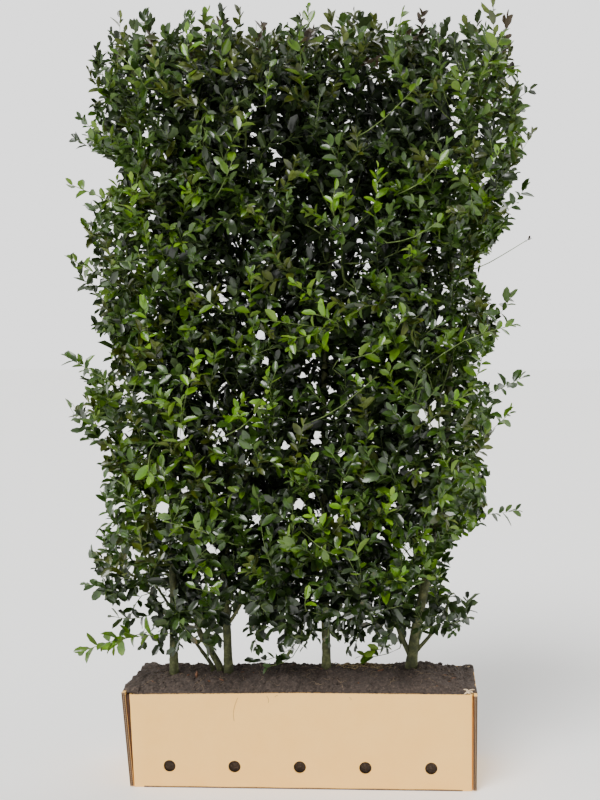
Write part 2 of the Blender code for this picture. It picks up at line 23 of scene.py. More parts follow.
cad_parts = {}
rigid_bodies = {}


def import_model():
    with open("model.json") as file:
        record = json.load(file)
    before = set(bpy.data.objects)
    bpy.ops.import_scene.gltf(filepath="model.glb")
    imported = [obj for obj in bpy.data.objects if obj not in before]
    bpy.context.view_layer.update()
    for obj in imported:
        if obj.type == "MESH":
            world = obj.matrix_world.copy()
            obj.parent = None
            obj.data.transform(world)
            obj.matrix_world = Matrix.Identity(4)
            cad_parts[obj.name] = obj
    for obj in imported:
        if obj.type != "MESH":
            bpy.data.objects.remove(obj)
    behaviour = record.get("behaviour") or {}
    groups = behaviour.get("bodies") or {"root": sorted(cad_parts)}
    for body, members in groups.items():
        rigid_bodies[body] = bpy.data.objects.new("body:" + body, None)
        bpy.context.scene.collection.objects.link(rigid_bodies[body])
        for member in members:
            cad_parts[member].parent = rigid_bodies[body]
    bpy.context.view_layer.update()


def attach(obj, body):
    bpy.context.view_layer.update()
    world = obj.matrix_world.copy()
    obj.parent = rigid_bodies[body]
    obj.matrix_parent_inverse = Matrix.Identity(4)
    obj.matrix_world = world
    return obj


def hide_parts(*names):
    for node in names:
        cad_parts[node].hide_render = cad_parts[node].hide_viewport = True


LOG = logging.getLogger("holly")
BODY = "root"
GOLDEN_ANGLE = math.radians(137.5)
FULL_TURN = 2 * math.pi
MM = 0.001

# The camera's place, which also decides what a gap in the crown has to miss
VIEWPOINT = (0.36, -3.27, 1.2)

# How finely a smooth curve is drawn between two of its points
CURVE_STEPS = 12

Array = np.ndarray
Draws = np.random.Generator


class Row(Enum):
    """The rows of foliage masses, by the height of their centres."""

    LOW = 0.595
    WAIST = 1.03
    SHOULDER = 1.47
    TOP = 1.93


class Tint(Enum):
    """The leaf colours that are dealt out to whole sprays."""

    # SHADE is painted shade: a near-black green dealt to sprays in the heart of the crown, where
    # shade falls
    SHADE = "shade"
    DARK = "dark"
    OLIVE = "olive"
    MID = "mid"
    FRESH = "fresh"
    YOUNG = "young"
    TIP = "tip"


SHADE, DARK, OLIVE, MID, FRESH, YOUNG, TIP = Tint


# Colour and node helpers


def hex_to_linear(code: str) -> tuple[float, float, float, float]:
    """Turns an sRGB hex colour into linear RGBA.

    Args:
        code: the colour as "#rrggbb".

    Returns:
        Linear red, green, blue and an alpha of one.
    """
    channels = [int(code[i : i + 2], 16) / 255 for i in (1, 3, 5)]
    linear = [c / 12.92 if c <= 0.04045 else ((c + 0.055) / 1.055) ** 2.4 for c in channels]
    return (*linear, 1.0)


def add_node(tree: NodeTree, kind: str, settings: dict, links: dict) -> Node:
    """Adds a node with its settings and its links.

    Args:
        tree: the material's node tree.
        kind: the node's type name after "ShaderNode".
        settings: attribute or input names and their values, and as "stops" a ramp's colours.
        links: input names and the output sockets that feed them.

    Returns:
        The new node.
    """
    node = tree.nodes.new(f"ShaderNode{kind}")
    for name, value in settings.items():
        if name == "stops":
            elements = node.color_ramp.elements
            for i, (position, code) in enumerate(value.items()):
                element = elements[i] if i < 2 else elements.new(position)
                element.position = position
                element.color = hex_to_linear(code)
        elif isinstance(name, int) or name in node.inputs:
            node.inputs[name].default_value = value
        else:
            setattr(node, name, value)
    for name, socket in links.items():
        tree.links.new(socket, node.inputs[name])
    return node


class Surface(NamedTuple):
    """A new material: itself, its node tree, its Principled shader and the object's own places."""

    material: Material
    tree: NodeTree
    shader: Node
    place: NodeSocket

    def dress(
        self, colour: NodeSocket, values: dict, relief: tuple = ()
    ) -> Material:
        """Feeds the shader.

        Args:
            colour: the socket that gives its base colour.
            values: its other inputs and their values.
            relief: the socket that gives the height, the bump's strength and its depth in mm.

        Returns:
            The material.
        """
        self.tree.links.new(colour, self.shader.inputs["Base Color"])
        for name, value in values.items():
            self.shader.inputs[name].default_value = value
        if relief:
            height, strength, depth = relief
            bump = add_node(
                self.tree, "Bump", {"Strength": strength, "Distance": depth * MM},
                {"Height": height},
            )
            self.tree.links.new(bump.outputs["Normal"], self.shader.inputs["Normal"])
        return self.material


def new_material(name: str) -> Surface:
    """Makes a node material.

    Args:
        name: the material's name.

    Returns:
        The new surface.
    """
    material = bpy.data.materials.new(name)
    material.use_nodes = True
    tree = material.node_tree
    place = add_node(tree, "TexCoord", {}, {}).outputs["Object"]
    return Surface(material, tree, tree.nodes["Principled BSDF"], place)


# Finishes


@dataclass(frozen=True)
class LeafFinish:
    """A waxed evergreen leaf: a smooth cuticle over a green blade, paler underneath."""

    tint: Tint
    deep: str
    light: str
    under: str
    roughness: float = 0.30
    wax: float = 0.38
    wax_roughness: float = 0.12
    blotch_mm: float = 38
    wave_mm: float = 9
    fleck_mm: float = 12

    def upper(self) -> Material:
        """Makes the upper face, whose wax gives the crown its small white glints.

        Returns:
            The material.
        """
        surface = new_material(f"holly_leaf_waxed_{self.tint.value}")
        blotches, waves = (
            add_node(surface.tree, "TexNoise", settings, {"Vector": surface.place})
            for settings in (
                {"Scale": 1 / (self.blotch_mm * MM), "Detail": 3.0, "Roughness": 0.6},
                {"Scale": 1 / (self.wave_mm * MM), "Detail": 2.0},
            )
        )
        colour = add_node(
            surface.tree, "ValToRGB", {"stops": {0.36: self.deep, 0.64: self.light}},
            {"Fac": blotches.outputs["Fac"]},
        ).outputs["Color"]
        wax = {"Roughness": self.roughness, "IOR": 1.45,
               "Coat Weight": self.wax, "Coat Roughness": self.wax_roughness}
        return surface.dress(colour, wax, (waves.outputs["Fac"], 0.3, 1.2))

    def underside(self) -> Material:
        """Makes the under face, duller and paler than the upper.

        Returns:
            The material.
        """
        surface = new_material(f"holly_leaf_underside_{self.tint.value}")
        flecks = add_node(
            surface.tree, "TexNoise", {"Scale": 1 / (self.fleck_mm * MM), "Detail": 3.0},
            {"Vector": surface.place},
        )
        colour = add_node(
            surface.tree, "ValToRGB", {"stops": {0.30: self.light, 0.60: self.under}},
            {"Fac": flecks.outputs["Fac"]},
        ).outputs["Color"]
        return surface.dress(colour, {"Roughness": 0.55, "IOR": 1.40})


@dataclass(frozen=True)
class BarkFinish:
    """Young evergreen bark: smooth olive grey skin, mottled, with pale pores."""

    name: str
    dark: str
    mid: str
    pale: str
    mottle_mm: float
    pore_mm: float
    roughness: float = 0.72

    def material(self) -> Material:
        """Makes the bark, whose mottling and pores break up the green of the stems.

        Returns:
            The material.
        """
        surface = new_material(self.name)
        tree = surface.tree
        mottle = add_node(
            tree, "TexNoise",
            {"Scale": 1 / (self.mottle_mm * MM), "Detail": 5.0, "Roughness": 0.62},
            {"Vector": surface.place},
        )
        base = add_node(
            tree, "ValToRGB",
            {"stops": {0.30: self.dark, 0.70: self.pale, 0.50: self.mid}},
            {"Fac": mottle.outputs["Fac"]},
        )
        stretch = add_node(
            tree, "Mapping", {"Scale": (1.0, 1.0, 2.4)}, {"Vector": surface.place}
        )
        pores = add_node(
            tree, "TexVoronoi", {"Scale": 1 / (self.pore_mm * MM)},
            {"Vector": stretch.outputs["Vector"]},
        )
        spots = add_node(
            tree, "MapRange",
            {"From Min": 0.10, "From Max": 0.22, "To Min": 0.55, "To Max": 0.0},
            {"Value": pores.outputs["Distance"]},
        )
        mixed = add_node(
            tree, "Mix", {"data_type": "RGBA", 7: hex_to_linear(self.pale)},
            {0: spots.outputs["Result"], 6: base.outputs["Color"]},
        )
        relief = (mottle.outputs["Fac"], 0.5, 0.6)
        return surface.dress(mixed.outputs[2], {"Roughness": self.roughness}, relief)


@dataclass(frozen=True)
class BoardFinish:
    """Brown kraft liner on corrugated board: matt paper with fibres and faint flute lines."""

    name: str
    dark: str
    pale: str
    flute_mm: float = 7.9
    cloud_mm: float = 60
    fibre_mm: float = 2.5

    # How wide the wave texture's bands are at a scale of one
    BAND = 0.314

    def material(self) -> Material:
        """Makes the liner, where the flutes show through as soft upright bands.

        Returns:
            The material.
        """
        surface = new_material(self.name)
        tree = surface.tree
        cloud = add_node(
            tree, "TexNoise",
            {"Scale": 1 / (self.cloud_mm * MM), "Detail": 4.0, "Roughness": 0.6},
            {"Vector": surface.place},
        )
        fibre_place = add_node(
            tree, "Mapping", {"Scale": (1.0, 1.0, 5.0)}, {"Vector": surface.place}
        )
        fibres = add_node(
            tree, "TexNoise", {"Scale": 1 / (self.fibre_mm * MM), "Detail": 3.0},
            {"Vector": fibre_place.outputs["Vector"]},
        )
        bands = add_node(
            tree, "TexWave",
            {"bands_direction": "X", "wave_type": "BANDS", "Distortion": 0.3,
             "Scale": self.BAND / (self.flute_mm * MM)},
            {"Vector": surface.place},
        )
        blend, height = (
            add_node(
                tree, "Mix", {"data_type": "FLOAT", 0: share},
                {2: first.outputs["Fac"], 3: second.outputs["Fac"]},
            )
            for share, first, second in ((0.4, cloud, fibres), (0.35, fibres, bands))
        )
        colour = add_node(
            tree, "ValToRGB", {"stops": {0.35: self.dark, 0.62: self.pale}},
            {"Fac": blend.outputs[0]},
        ).outputs["Color"]
        paper = {"Roughness": 0.82, "IOR": 1.40}
        return surface.dress(colour, paper, (height.outputs[0], 0.25, 0.4))


@dataclass(frozen=True)
class SoilFinish:
    """Peat-based potting soil: dark crumbs held together by fine roots."""

    name: str
    dark: str
    mid: str
    pale: str
    grain_mm: float = 7

    def material(self) -> Material:
        """Makes the soil, whose speckle of pale fibres reads as roots and bark dust.

        Returns:
            The material.
        """
        surface = new_material(self.name)
        grain = add_node(
            surface.tree, "TexNoise",
            {"Scale": 1 / (self.grain_mm * MM), "Detail": 8.0, "Roughness": 0.75},
            {"Vector": surface.place},
        ).outputs["Fac"]
        colour = add_node(
            surface.tree, "ValToRGB",
            {"stops": {0.36: self.dark, 0.66: self.pale, 0.54: self.mid}}, {"Fac": grain},
        ).outputs["Color"]
        return surface.dress(colour, {"Roughness": 0.95}, (grain, 0.9, 3))


@dataclass(frozen=True)
class PlainFinish:
    """A matt natural stuff with a fine grain, such as root fibre, torn paper or wood chip."""

    name: str
    dark: str
    pale: str
    grain_mm: float
    roughness: float = 0.85

    def material(self) -> Material:
        """Makes the stuff, with its grain as the only play of colour.

        Returns:
            The material.
        """
        surface = new_material(self.name)
        grain = add_node(
            surface.tree, "TexNoise", {"Scale": 1 / (self.grain_mm * MM), "Detail": 3.0},
            {"Vector": surface.place},
        )
        colour = add_node(
            surface.tree, "ValToRGB", {"stops": {0.35: self.dark, 0.65: self.pale}},
            {"Fac": grain.outputs["Fac"]},
        ).outputs["Color"]
        return surface.dress(colour, {"Roughness": self.roughness})


LEAF_FINISHES = {
    finish.tint: finish for finish in (
        # The shade tint's near-black greens are painted shade, for the heart of the crown
        LeafFinish(SHADE, "#0e1708", "#19270d", "#243317"),
        LeafFinish(DARK, "#131e08", "#233510", "#37481f"),
        LeafFinish(OLIVE, "#28300a", "#444e10", "#58662a"),
        LeafFinish(MID, "#1e330b", "#365314", "#4c642b"),
        LeafFinish(FRESH, "#334f0a", "#507010", "#60782e", 0.28),
        LeafFinish(YOUNG, "#4a740b", "#6a9212", "#728a32", 0.32),
        LeafFinish(TIP, "#241b0e", "#3d301d", "#463c27", 0.34),
    )
}
TWIG_FINISH = BarkFinish("holly_twig_green_skin", "#3b4a1e", "#55692c", "#74834a", 14, 5)
STEM_FINISH = BarkFinish("holly_stem_olive_bark", "#262a14", "#3f4420", "#676a40", 16, 5)
BOARD_FINISH = BoardFinish("kraft_liner_on_corrugated_board", "#fbc36a", "#fec972")
RAW_EDGE_FINISH = PlainFinish("corrugated_medium_cut_edge", "#4f3b29", "#7d6248", 3)
SOIL_FINISH = SoilFinish("peat_potting_soil", "#2c241f", "#463b34", "#68594d")
ROOT_FINISH = PlainFinish("fine_root_fibre", "#6b5944", "#9c866a", 12)
CHIP_FINISH = PlainFinish("bark_chip_wood", "#4b3122", "#7a5238", 4)
CUT_LINER_FINISH = PlainFinish("cut_liner_edges_greyed", "#8a7058", "#ab8f70", 3)
# Near-black brown: painted shade, standing in for the shadow in the gap at the left end
FOLD_PAINTED_SHADE_FINISH = PlainFinish("kraft_painted_shade_in_gap", "#321b08", "#4c2a0e", 14)
TORN_FINISH = PlainFinish("torn_board_core_paper", "#c2a47c", "#e2cfb0", 3)
STRAW_FINISH = PlainFinish("dry_moss_and_straw", "#6e5c42", "#a8946c", 5)


# Mesh helpers


def mesh_from_arrays(
    name: str, points: Array, faces: Array, slots: Array | None = None
) -> Mesh:
    """Builds a mesh from arrays of points and of faces with an equal number of corners.

    Args:
        name: the mesh's name.
        points: an array of N by 3 places.
        faces: an array of M by 3 or M by 4 point numbers.
        slots: the material slot of each face, if there is more than one.

    Returns:
        The new mesh.
    """
    mesh = bpy.data.meshes.new(name)
    corners = faces.shape[1]
    mesh.vertices.add(len(points))
    mesh.vertices.foreach_set("co", points.astype(np.float32).ravel())
    mesh.loops.add(faces.size)
    mesh.loops.foreach_set("vertex_index", faces.astype(np.int32).ravel())
    mesh.polygons.add(len(faces))
    mesh.polygons.foreach_set("loop_start", np.arange(len(faces), dtype=np.int32) * corners)
    if slots is not None:
        mesh.polygons.foreach_set("material_index", slots.astype(np.int32))
    mesh.update(calc_edges=True)
    mesh.validate()
    return mesh


def add_piece(
    name: str, mesh: Mesh, materials: list[Material],
    replaced: list[str] = (),
) -> None:
    """Puts a mesh in the scene as a piece that rides on the plant's body.

    Args:
        name: the piece's name.
        mesh: its mesh, in the shared frame.
        materials: its materials, in slot order.
        replaced: the nodes that it stands for.
    """
    for material in materials:
        mesh.materials.append(material)
    piece = bpy.data.objects.new(name, mesh)
    bpy.context.scene.collection.objects.link(piece)
    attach(piece, BODY)
    if replaced:
        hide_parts(*replaced)
    LOG.info("%s: %d faces", name, len(mesh.polygons))


def smooth_way(way: Array, count: int) -> Array:
    """Evenly spaced points on a smooth curve through the given points.

    Args:
        way: the points to pass, N by 3.
        count: how many points to return.

    Returns:
        An array of count by 3 places.
    """
    points = np.asarray(way, float)
    padded = np.vstack((2 * points[0] - points[1], points, 2 * points[-1] - points[-2]))
    steps = np.linspace(0.0, 1.0, CURVE_STEPS, endpoint=False)[:, None]
    dense = []
    for a, b, c, d in zip(padded, padded[1:], padded[2:], padded[3:]):
        dense.append(
            0.5 * (2 * b + (c - a) * steps + (2 * a - 5 * b + 4 * c - d) * steps**2
                   + (3 * b - 3 * c + d - a) * steps**3)
        )
    dense = np.vstack([*dense, points[-1:]])
    travelled = np.concatenate(([0.0], np.cumsum(np.linalg.norm(np.diff(dense, axis=0), axis=1))))
    wanted = np.linspace(0.0, travelled[-1], count)
    return np.stack([np.interp(wanted, travelled, dense[:, k]) for k in range(3)], axis=1)


def unit(vectors: Array) -> Array:
    """Scales vectors to a length of one."""
    return vectors / np.maximum(np.linalg.norm(vectors, axis=-1, keepdims=True), 1e-9)


def grid_faces(rows: int, columns: int) -> Array:
    """Four-cornered faces over a grid of points that is numbered row by row.

    Args:
        rows: how many rows of points.
        columns: how many points a row has.

    Returns:
        The faces, M by 4.
    """
    i, j = np.meshgrid(np.arange(rows - 1), np.arange(columns - 1), indexing="ij")
    a = (i * columns + j).ravel()
    return np.stack((a, a + columns, a + columns + 1, a + 1), axis=1)


def frames_along(way: Array) -> tuple[Array, Array, Array]:
    """Heading and two square directions at each point of a way, with little twist.

    Args:
        way: the points, N by 3.

    Returns:
        Headings, first sides and second sides, each N by 3.
    """
    headings = unit(np.gradient(way, axis=0))
    helper = np.where(np.abs(headings[:, :1]) > 0.8, [[0.0, 1.0, 0.0]], [[1.0, 0.0, 0.0]])
    first = unit(helper - headings * (headings * helper).sum(1, keepdims=True))
    return headings, first, np.cross(headings, first)


def tube(way: Array, radii: Array, sides: int, relief: Array | None = None) -> tuple[Array, Array]:
    """A tube of quads round a way, with its ends closed to a point.

    Args:
        way: the points along its middle, N by 3.
        radii: the radius at each point.
        sides: how many sides it has.
        relief: what is added to the radius, N by sides.

    Returns:
        Points and four-cornered faces.
    """
    _, first, second = frames_along(way)
    angles = (np.arange(sides) * FULL_TURN / sides)[None, :, None]
    reach = radii[:, None] + (relief if relief is not None else 0.0)
    ring = first[:, None, :] * np.cos(angles) + second[:, None, :] * np.sin(angles)
    reach = np.broadcast_to(reach, ring.shape[:2])[..., None]
    points = (way[:, None, :] + ring * reach).reshape(-1, 3)
    points = np.vstack((points, way[0], way[-1]))
    i, j = np.meshgrid(np.arange(len(way) - 1), np.arange(sides), indexing="ij")
    near, far = (i * sides + j).ravel(), (i * sides + (j + 1) % sides).ravel()
    walls = np.stack((near, far, far + sides, near + sides), axis=1)
    last = (len(way) - 1) * sides
    k = np.arange(0, sides, 2)
    foot, tip = len(points) - 2, len(points) - 1
    after, beyond = (k + 1) % sides, (k + 2) % sides
    start_cap = np.stack((np.full_like(k, foot), beyond, after, k), axis=1)
    end_cap = np.stack((np.full_like(k, tip), last + k, last + after, last + beyond), axis=1)
    return points, np.vstack((walls, start_cap, end_cap))


def join(parts: list[tuple[Array, Array]]) -> tuple[Array, Array]:
    """Joins meshes given as points and faces into one pair of arrays.

    Args:
        parts: each mesh's points and faces.

    Returns:
        All points and all faces.
    """
    shifts = np.cumsum([0] + [len(points) for points, _ in parts[:-1]])
    return (
        np.vstack([points for points, _ in parts]),
        np.vstack([faces + shift for (_, faces), shift in zip(parts, shifts)]),
    )


class LatticeNoise:
    """Smooth seeded noise in space, from minus one to one."""

    # Keeps the finer layers from lining up with the coarse one
    OCTAVE_SHIFT = 17.3

    def __init__(self, seed: int, size: int = 32) -> None:
        """Fills the lattice.

        Args:
            seed: the seed of its values.
            size: how many cells it has a side before it repeats.
        """
        self.size = size
        self.values = np.random.default_rng(seed).uniform(-1, 1, (size, size, size))

    def at(self, points: Array, cell: float, octaves: int = 3, fall: float = 0.5) -> Array:
        """Reads the noise.

        Args:
            points: places, N by 3.
            cell: the size of its largest lumps in metres.
            octaves: how many finer layers are added.
            fall: how much weaker each finer layer is.

        Returns:
            One value a point.
        """
        total, strength = np.zeros(len(points)), 1.0
        for octave in range(octaves):
            scaled = points / cell * 2**octave + self.OCTAVE_SHIFT * octave
            low = np.floor(scaled).astype(int)
            share = scaled - low
            share = share * share * (3 - 2 * share)
            for corner in range(8):
                step = np.array([(corner >> k) & 1 for k in range(3)])
                weight = np.where(step, share, 1 - share).prod(axis=1)
                index = (low + step) % self.size
                total += strength * weight * self.values[index[:, 0], index[:, 1], index[:, 2]]
            strength *= fall
        return total


NOISE = LatticeNoise(5)


# Stems, boughs and the space that the crown shares


GROUND = 0.298
FAR_OUT = 9.0


@dataclass(frozen=True)
class Limb:
    """A stem that stands on the soil, or forks from another near the ground."""

    way: tuple
    foot_radius: float
    tip_radius: float
    parent: str = ""


@dataclass(frozen=True)
class Bough:
    """A side limb that carries one mass of foliage: bearing and rise are in degrees."""

    stem: str
    height: float
    bearing: float
    rise: float
    length: float


STEMS = {
    "stem_a": Limb(
        ((-0.388, -0.012, GROUND), (-0.392, -0.014, 0.75), (-0.386, 0.0, 1.25),
         (-0.425, 0.01, 1.79)),
        0.0125, 0.0050,
    ),
    "stem_b": Limb(
        ((-0.257, 0.012, GROUND), (-0.322, 0.020, 0.405), (-0.336, 0.022, 0.57),
         (-0.262, 0.02, 1.28)),
        0.0095, 0.0045,
    ),
    "stem_b_side": Limb(
        ((-0.284, 0.028, GROUND), (-0.364, 0.034, 0.405), (-0.430, 0.040, 0.495)), 0.0055, 0.0042
    ),
    "stem_c": Limb(
        ((-0.227, -0.004, GROUND), (-0.238, -0.006, 0.50), (-0.215, 0.0, 1.10),
         (-0.178, 0.01, 1.70)),
        0.0130, 0.0050,
    ),
    "stem_d": Limb(
        ((0.060, 0.004, GROUND), (0.058, 0.004, 0.70), (0.056, 0.012, 1.25), (0.096, 0.008, 1.79)),
        0.0133, 0.0050,
    ),
    "stem_e": Limb(
        ((0.311, 0.010, GROUND), (0.341, 0.010, 0.50), (0.392, 0.012, 0.72),
         (0.418, 0.008, 1.00), (0.436, 0.0, 1.69)),
        0.0165, 0.0050,
    ),
    "stem_e_left": Limb(
        ((0.314, 0.010, 0.325), (0.275, 0.014, 0.415), (0.210, 0.020, 0.62), (0.172, 0.02, 0.85)),
        0.0080, 0.0042, "stem_e",
    ),
    "stem_e_right": Limb(
        ((0.322, 0.010, 0.345), (0.388, 0.004, 0.425), (0.420, -0.004, 0.495)), 0.0058, 0.0042,
        "stem_e",
    ),
}

BOUGHS = {
    "bough_waist_1": Bough("stem_a", 0.84, -150, 48, 0.125),
    "bough_shoulder_1": Bough("stem_a", 1.30, 155, 50, 0.125),
    "bough_low_2": Bough("stem_c", 0.425, -42, 44, 0.110),
    "bough_waist_2": Bough("stem_c", 0.80, 35, 50, 0.115),
    "bough_low_3": Bough("stem_d", 0.45, 40, 46, 0.120),
    "bough_shoulder_3": Bough("stem_d", 1.30, -40, 52, 0.115),
    "bough_waist_4": Bough("stem_e", 0.81, -35, 48, 0.110),
    "bough_shoulder_4": Bough("stem_e", 1.21, 38, 52, 0.115),
}

CARRIERS = {
    Row.LOW: ("stem_b_side", "bough_low_2", "bough_low_3", "stem_e_right"),
    Row.WAIST: ("bough_waist_1", "bough_waist_2", "stem_e_left", "bough_waist_4"),
    Row.SHOULDER: ("bough_shoulder_1", "stem_b", "bough_shoulder_3", "bough_shoulder_4"),
    Row.TOP: ("stem_a", "stem_c", "stem_d", "stem_e"),
}


@dataclass
class Limbs:
    """The stems and boughs: their courses, and their bark as pieces."""

    stem_rings: int = 8
    bough_rings: int = 4
    flare: float = 1.35
    flare_height: float = 0.045
    ring_spacing: float = 0.006
    sides: int = 20
    buried: float = 0.025
    buried_share: float = 0.84
    bough_turn: float = 0.12
    bough_share: float = 0.62
    bough_most: float = 0.0062
    bough_tip: float = 0.0040
    sway: float = 0.025
    usual_radius: float = 0.012
    ridge: float = 0.009
    ridge_height: float = 0.07
    scar_pitch: float = 0.034
    scar_width: float = 0.0016
    scar_height: float = 0.055
    swelling: float = 0.12
    swelling_reach: float = 0.05
    shapes: dict[str, tuple[Array, Array]] = field(default_factory=dict)

    def __post_init__(self) -> None:
        """Works out every course and radius as the solids have them."""
        for name, limb in STEMS.items():
            self.shapes[name] = self.stem_shape(limb)
        for name, bough in BOUGHS.items():
            self.shapes[name] = self.bough_shape(bough)

    def stem_shape(self, limb: Limb) -> tuple[Array, Array]:
        """A stem's points and radii: an even taper, with a flare where it meets the soil.

        Args:
            limb: the stem's sizes.

        Returns:
            Points and radii.
        """
        points = smooth_way(limb.way, self.stem_rings)
        radii = np.linspace(limb.foot_radius, limb.tip_radius, self.stem_rings)
        if limb.parent:
            return points, radii
        share = self.flare_height / (points[1][2] - points[0][2])
        points = np.insert(points, 1, points[0] + (points[1] - points[0]) * share, axis=0)
        radii = np.insert(radii, 1, radii[0])
        radii[0] *= self.flare
        return points, radii

    def bough_shape(self, bough: Bough) -> tuple[Array, Array]:
        """A bough's points and radii: it leaves its stem's middle and turns gently upwards.

        Args:
            bough: the bough's sizes.

        Returns:
            Points and radii.
        """
        points, radii = self.shapes[bough.stem]
        start = np.array([np.interp(bough.height, points[:, 2], points[:, k]) for k in range(3)])
        stem_radius = float(np.interp(bough.height, points[:, 2], radii))
        bearing, rise = math.radians(bough.bearing), math.radians(bough.rise)
        heading = np.array(
            (math.cos(bearing) * math.cos(rise), math.sin(bearing) * math.cos(rise), math.sin(rise))
        )
        lift = np.array((0.0, 0.0, self.bough_turn * bough.length))
        ends = [start, start + heading * bough.length * 0.5, start + heading * bough.length + lift]
        way = smooth_way(ends, self.bough_rings)
        foot_radius = min(self.bough_share * stem_radius, self.bough_most)
        return way, np.linspace(foot_radius, self.bough_tip, self.bough_rings)

    def bark(self, name: str) -> tuple[Array, Array]:
        """One limb's bark: its tube with ridges, rings of old leaf scars and small swellings.

        Args:
            name: the limb's name.

        Returns:
            Points and four-cornered faces.
        """
        coarse, sizes = self.shapes[name]
        if name in STEMS and not STEMS[name].parent:
            coarse = np.vstack((coarse[:1] - (0.0, 0.0, self.buried), coarse))
            narrowed = sizes[:1] * self.buried_share
            sizes = np.concatenate((narrowed, narrowed, sizes[1:]))
        length = np.linalg.norm(np.diff(coarse, axis=0), axis=1).sum()
        count = max(12, int(length / self.ring_spacing))
        way = smooth_way(coarse, count)
        along = np.linspace(0, 1, count) * length
        at = np.concatenate(([0.0], np.cumsum(np.linalg.norm(np.diff(coarse, axis=0), axis=1))))
        radii = np.interp(along, at, sizes)
        sway = np.stack([np.sin(along * 21 + k * 2.1 + coarse[0, 0] * 9) for k in range(2)], axis=1)
        free = np.minimum(along, 0.05)[:, None]
        way[:, :2] += sway * free * self.sway * (radii / self.usual_radius)[:, None]
        angles = np.arange(self.sides) * FULL_TURN / self.sides
        ring = np.stack((np.cos(angles), np.sin(angles)), axis=1)
        places = np.zeros((count, self.sides, 3))
        places[..., :2] = ring[None] * self.usual_radius + coarse[0, 0]
        places[..., 2] = along[:, None] * 0.5
        ridges = NOISE.at(places.reshape(-1, 3), self.ridge, 4, 0.6).reshape(count, self.sides)
        tilted = (along[:, None] + 0.006 * np.sin(angles)[None]) % self.scar_pitch
        scars = np.exp(-((tilted - self.scar_pitch / 2) / self.scar_width) ** 2)
        lobes = self.swelling * np.cos(3 * angles + 1)[None] ** 2
        foot = np.exp(-along / self.swelling_reach)[:, None] * lobes
        relief = ridges * self.ridge_height + self.scar_height * scars + foot
        return tube(way, radii * 0.97, self.sides, relief * radii[:, None])

    def build(self, material: Material) -> None:
        """Makes one piece a limb, in place of its solid.

        Args:
            material: the bark's finish.
        """
        for name in self.shapes:
            points, faces = self.bark(name)
            mesh = mesh_from_arrays(f"{name}_bark", points, faces)
            mesh.shade_smooth()
            add_piece(f"{name}_bark", mesh, [material], [name])


@dataclass(frozen=True)
class Outline:
    """The crown's edges with its depth and its rounded section."""

    depth: float = 0.460
    top_front: float = 2.135
    top_back: float = 2.195
    foot: float = 0.33
    squareness: int = 5

    # Heights in mm, each with the places of the left and the right edge
    EDGES = (
        (300, -460, 400), (350, -484, 417), (410, -440, 430), (470, -450, 455),
        (530, -589, 436), (580, -584, 404), (650, -622, 430), (700, -596, 462),
        (760, -574, 538), (820, -586, 516), (880, -576, 539), (940, -574, 492),
        (1000, -620, 565), (1060, -690, 524), (1120, -622, 550), (1180, -588, 470),
        (1240, -534, 550), (1300, -608, 565), (1360, -599, 562), (1420, -613, 528),
        (1480, -602, 480), (1540, -617, 553), (1600, -649, 603), (1660, -637, 574),
        (1720, -545, 607), (1770, -534, 629), (1830, -625, 642), (1890, -615, 636),
        (1950, -610, 640), (2010, -625, 625), (2070, -629, 604), (2130, -560, 602),
        (2190, -612, 612),
    )

    def top(self, y: Array | float) -> Array | float:
        """The height of the crown's top at a place from front to back."""
        return self.top_front + (self.top_back - self.top_front) * (y / self.depth + 0.5)

    def level(self, points: Array, spare: float = 0.0) -> Array:
        """How far out each point is: below one is inside.

        Args:
            points: places, N by 3.
            spare: what is added to the crown on every side.

        Returns:
            One value a point.
        """
        heights, lefts, rights = np.array(self.EDGES).T / 1000
        left = np.interp(points[:, 2], heights, lefts) - spare
        right = np.interp(points[:, 2], heights, rights) + spare
        across = (points[:, 0] - (left + right) / 2) / ((right - left) / 2)
        deep = points[:, 1] / (self.depth / 2 + spare)
        section = (np.abs(across) ** self.squareness + np.abs(deep) ** self.squareness) ** (
            1 / self.squareness
        )
        outside = (points[:, 2] > self.top(points[:, 1]) + spare) | (points[:, 2] < self.foot)
        return np.where(outside, FAR_OUT, section)


class Keepout:
    """The space that limbs take, as round-ended rods."""

    def __init__(self, limbs: Limbs) -> None:
        """Gathers the rods of every limb.

        Args:
            limbs: the stems and boughs.
        """
        shapes = limbs.shapes.values()
        self.starts = np.vstack([points[:-1] for points, _ in shapes])
        self.ends = np.vstack([points[1:] for points, _ in shapes])
        self.radii = np.concatenate([np.maximum(sizes[:-1], sizes[1:]) for _, sizes in shapes])

    def distance(self, points: Array) -> Array:
        """How far each point stands off the nearest limb's surface.

        Args:
            points: places, N by 3.

        Returns:
            One distance a point.
        """
        nearest = np.full(len(points), FAR_OUT)
        for start, run, radius in zip(self.starts, self.ends - self.starts, self.radii):
            share = np.clip((points - start) @ run / (run @ run), 0, 1)
            gap = np.linalg.norm(points - start - share[:, None] * run, axis=1) - radius
            nearest = np.minimum(nearest, gap)
        return nearest


class Opening(NamedTuple):
    """A round place in the crown: across, up and how wide."""

    x: float
    z: float
    radius: float

    @classmethod
    def each(cls, *places: tuple[int, int, int]) -> tuple[Opening, ...]:
        """Openings from their sizes in millimetres."""
        return tuple(cls(*(size / 1000 for size in place)) for place in places)


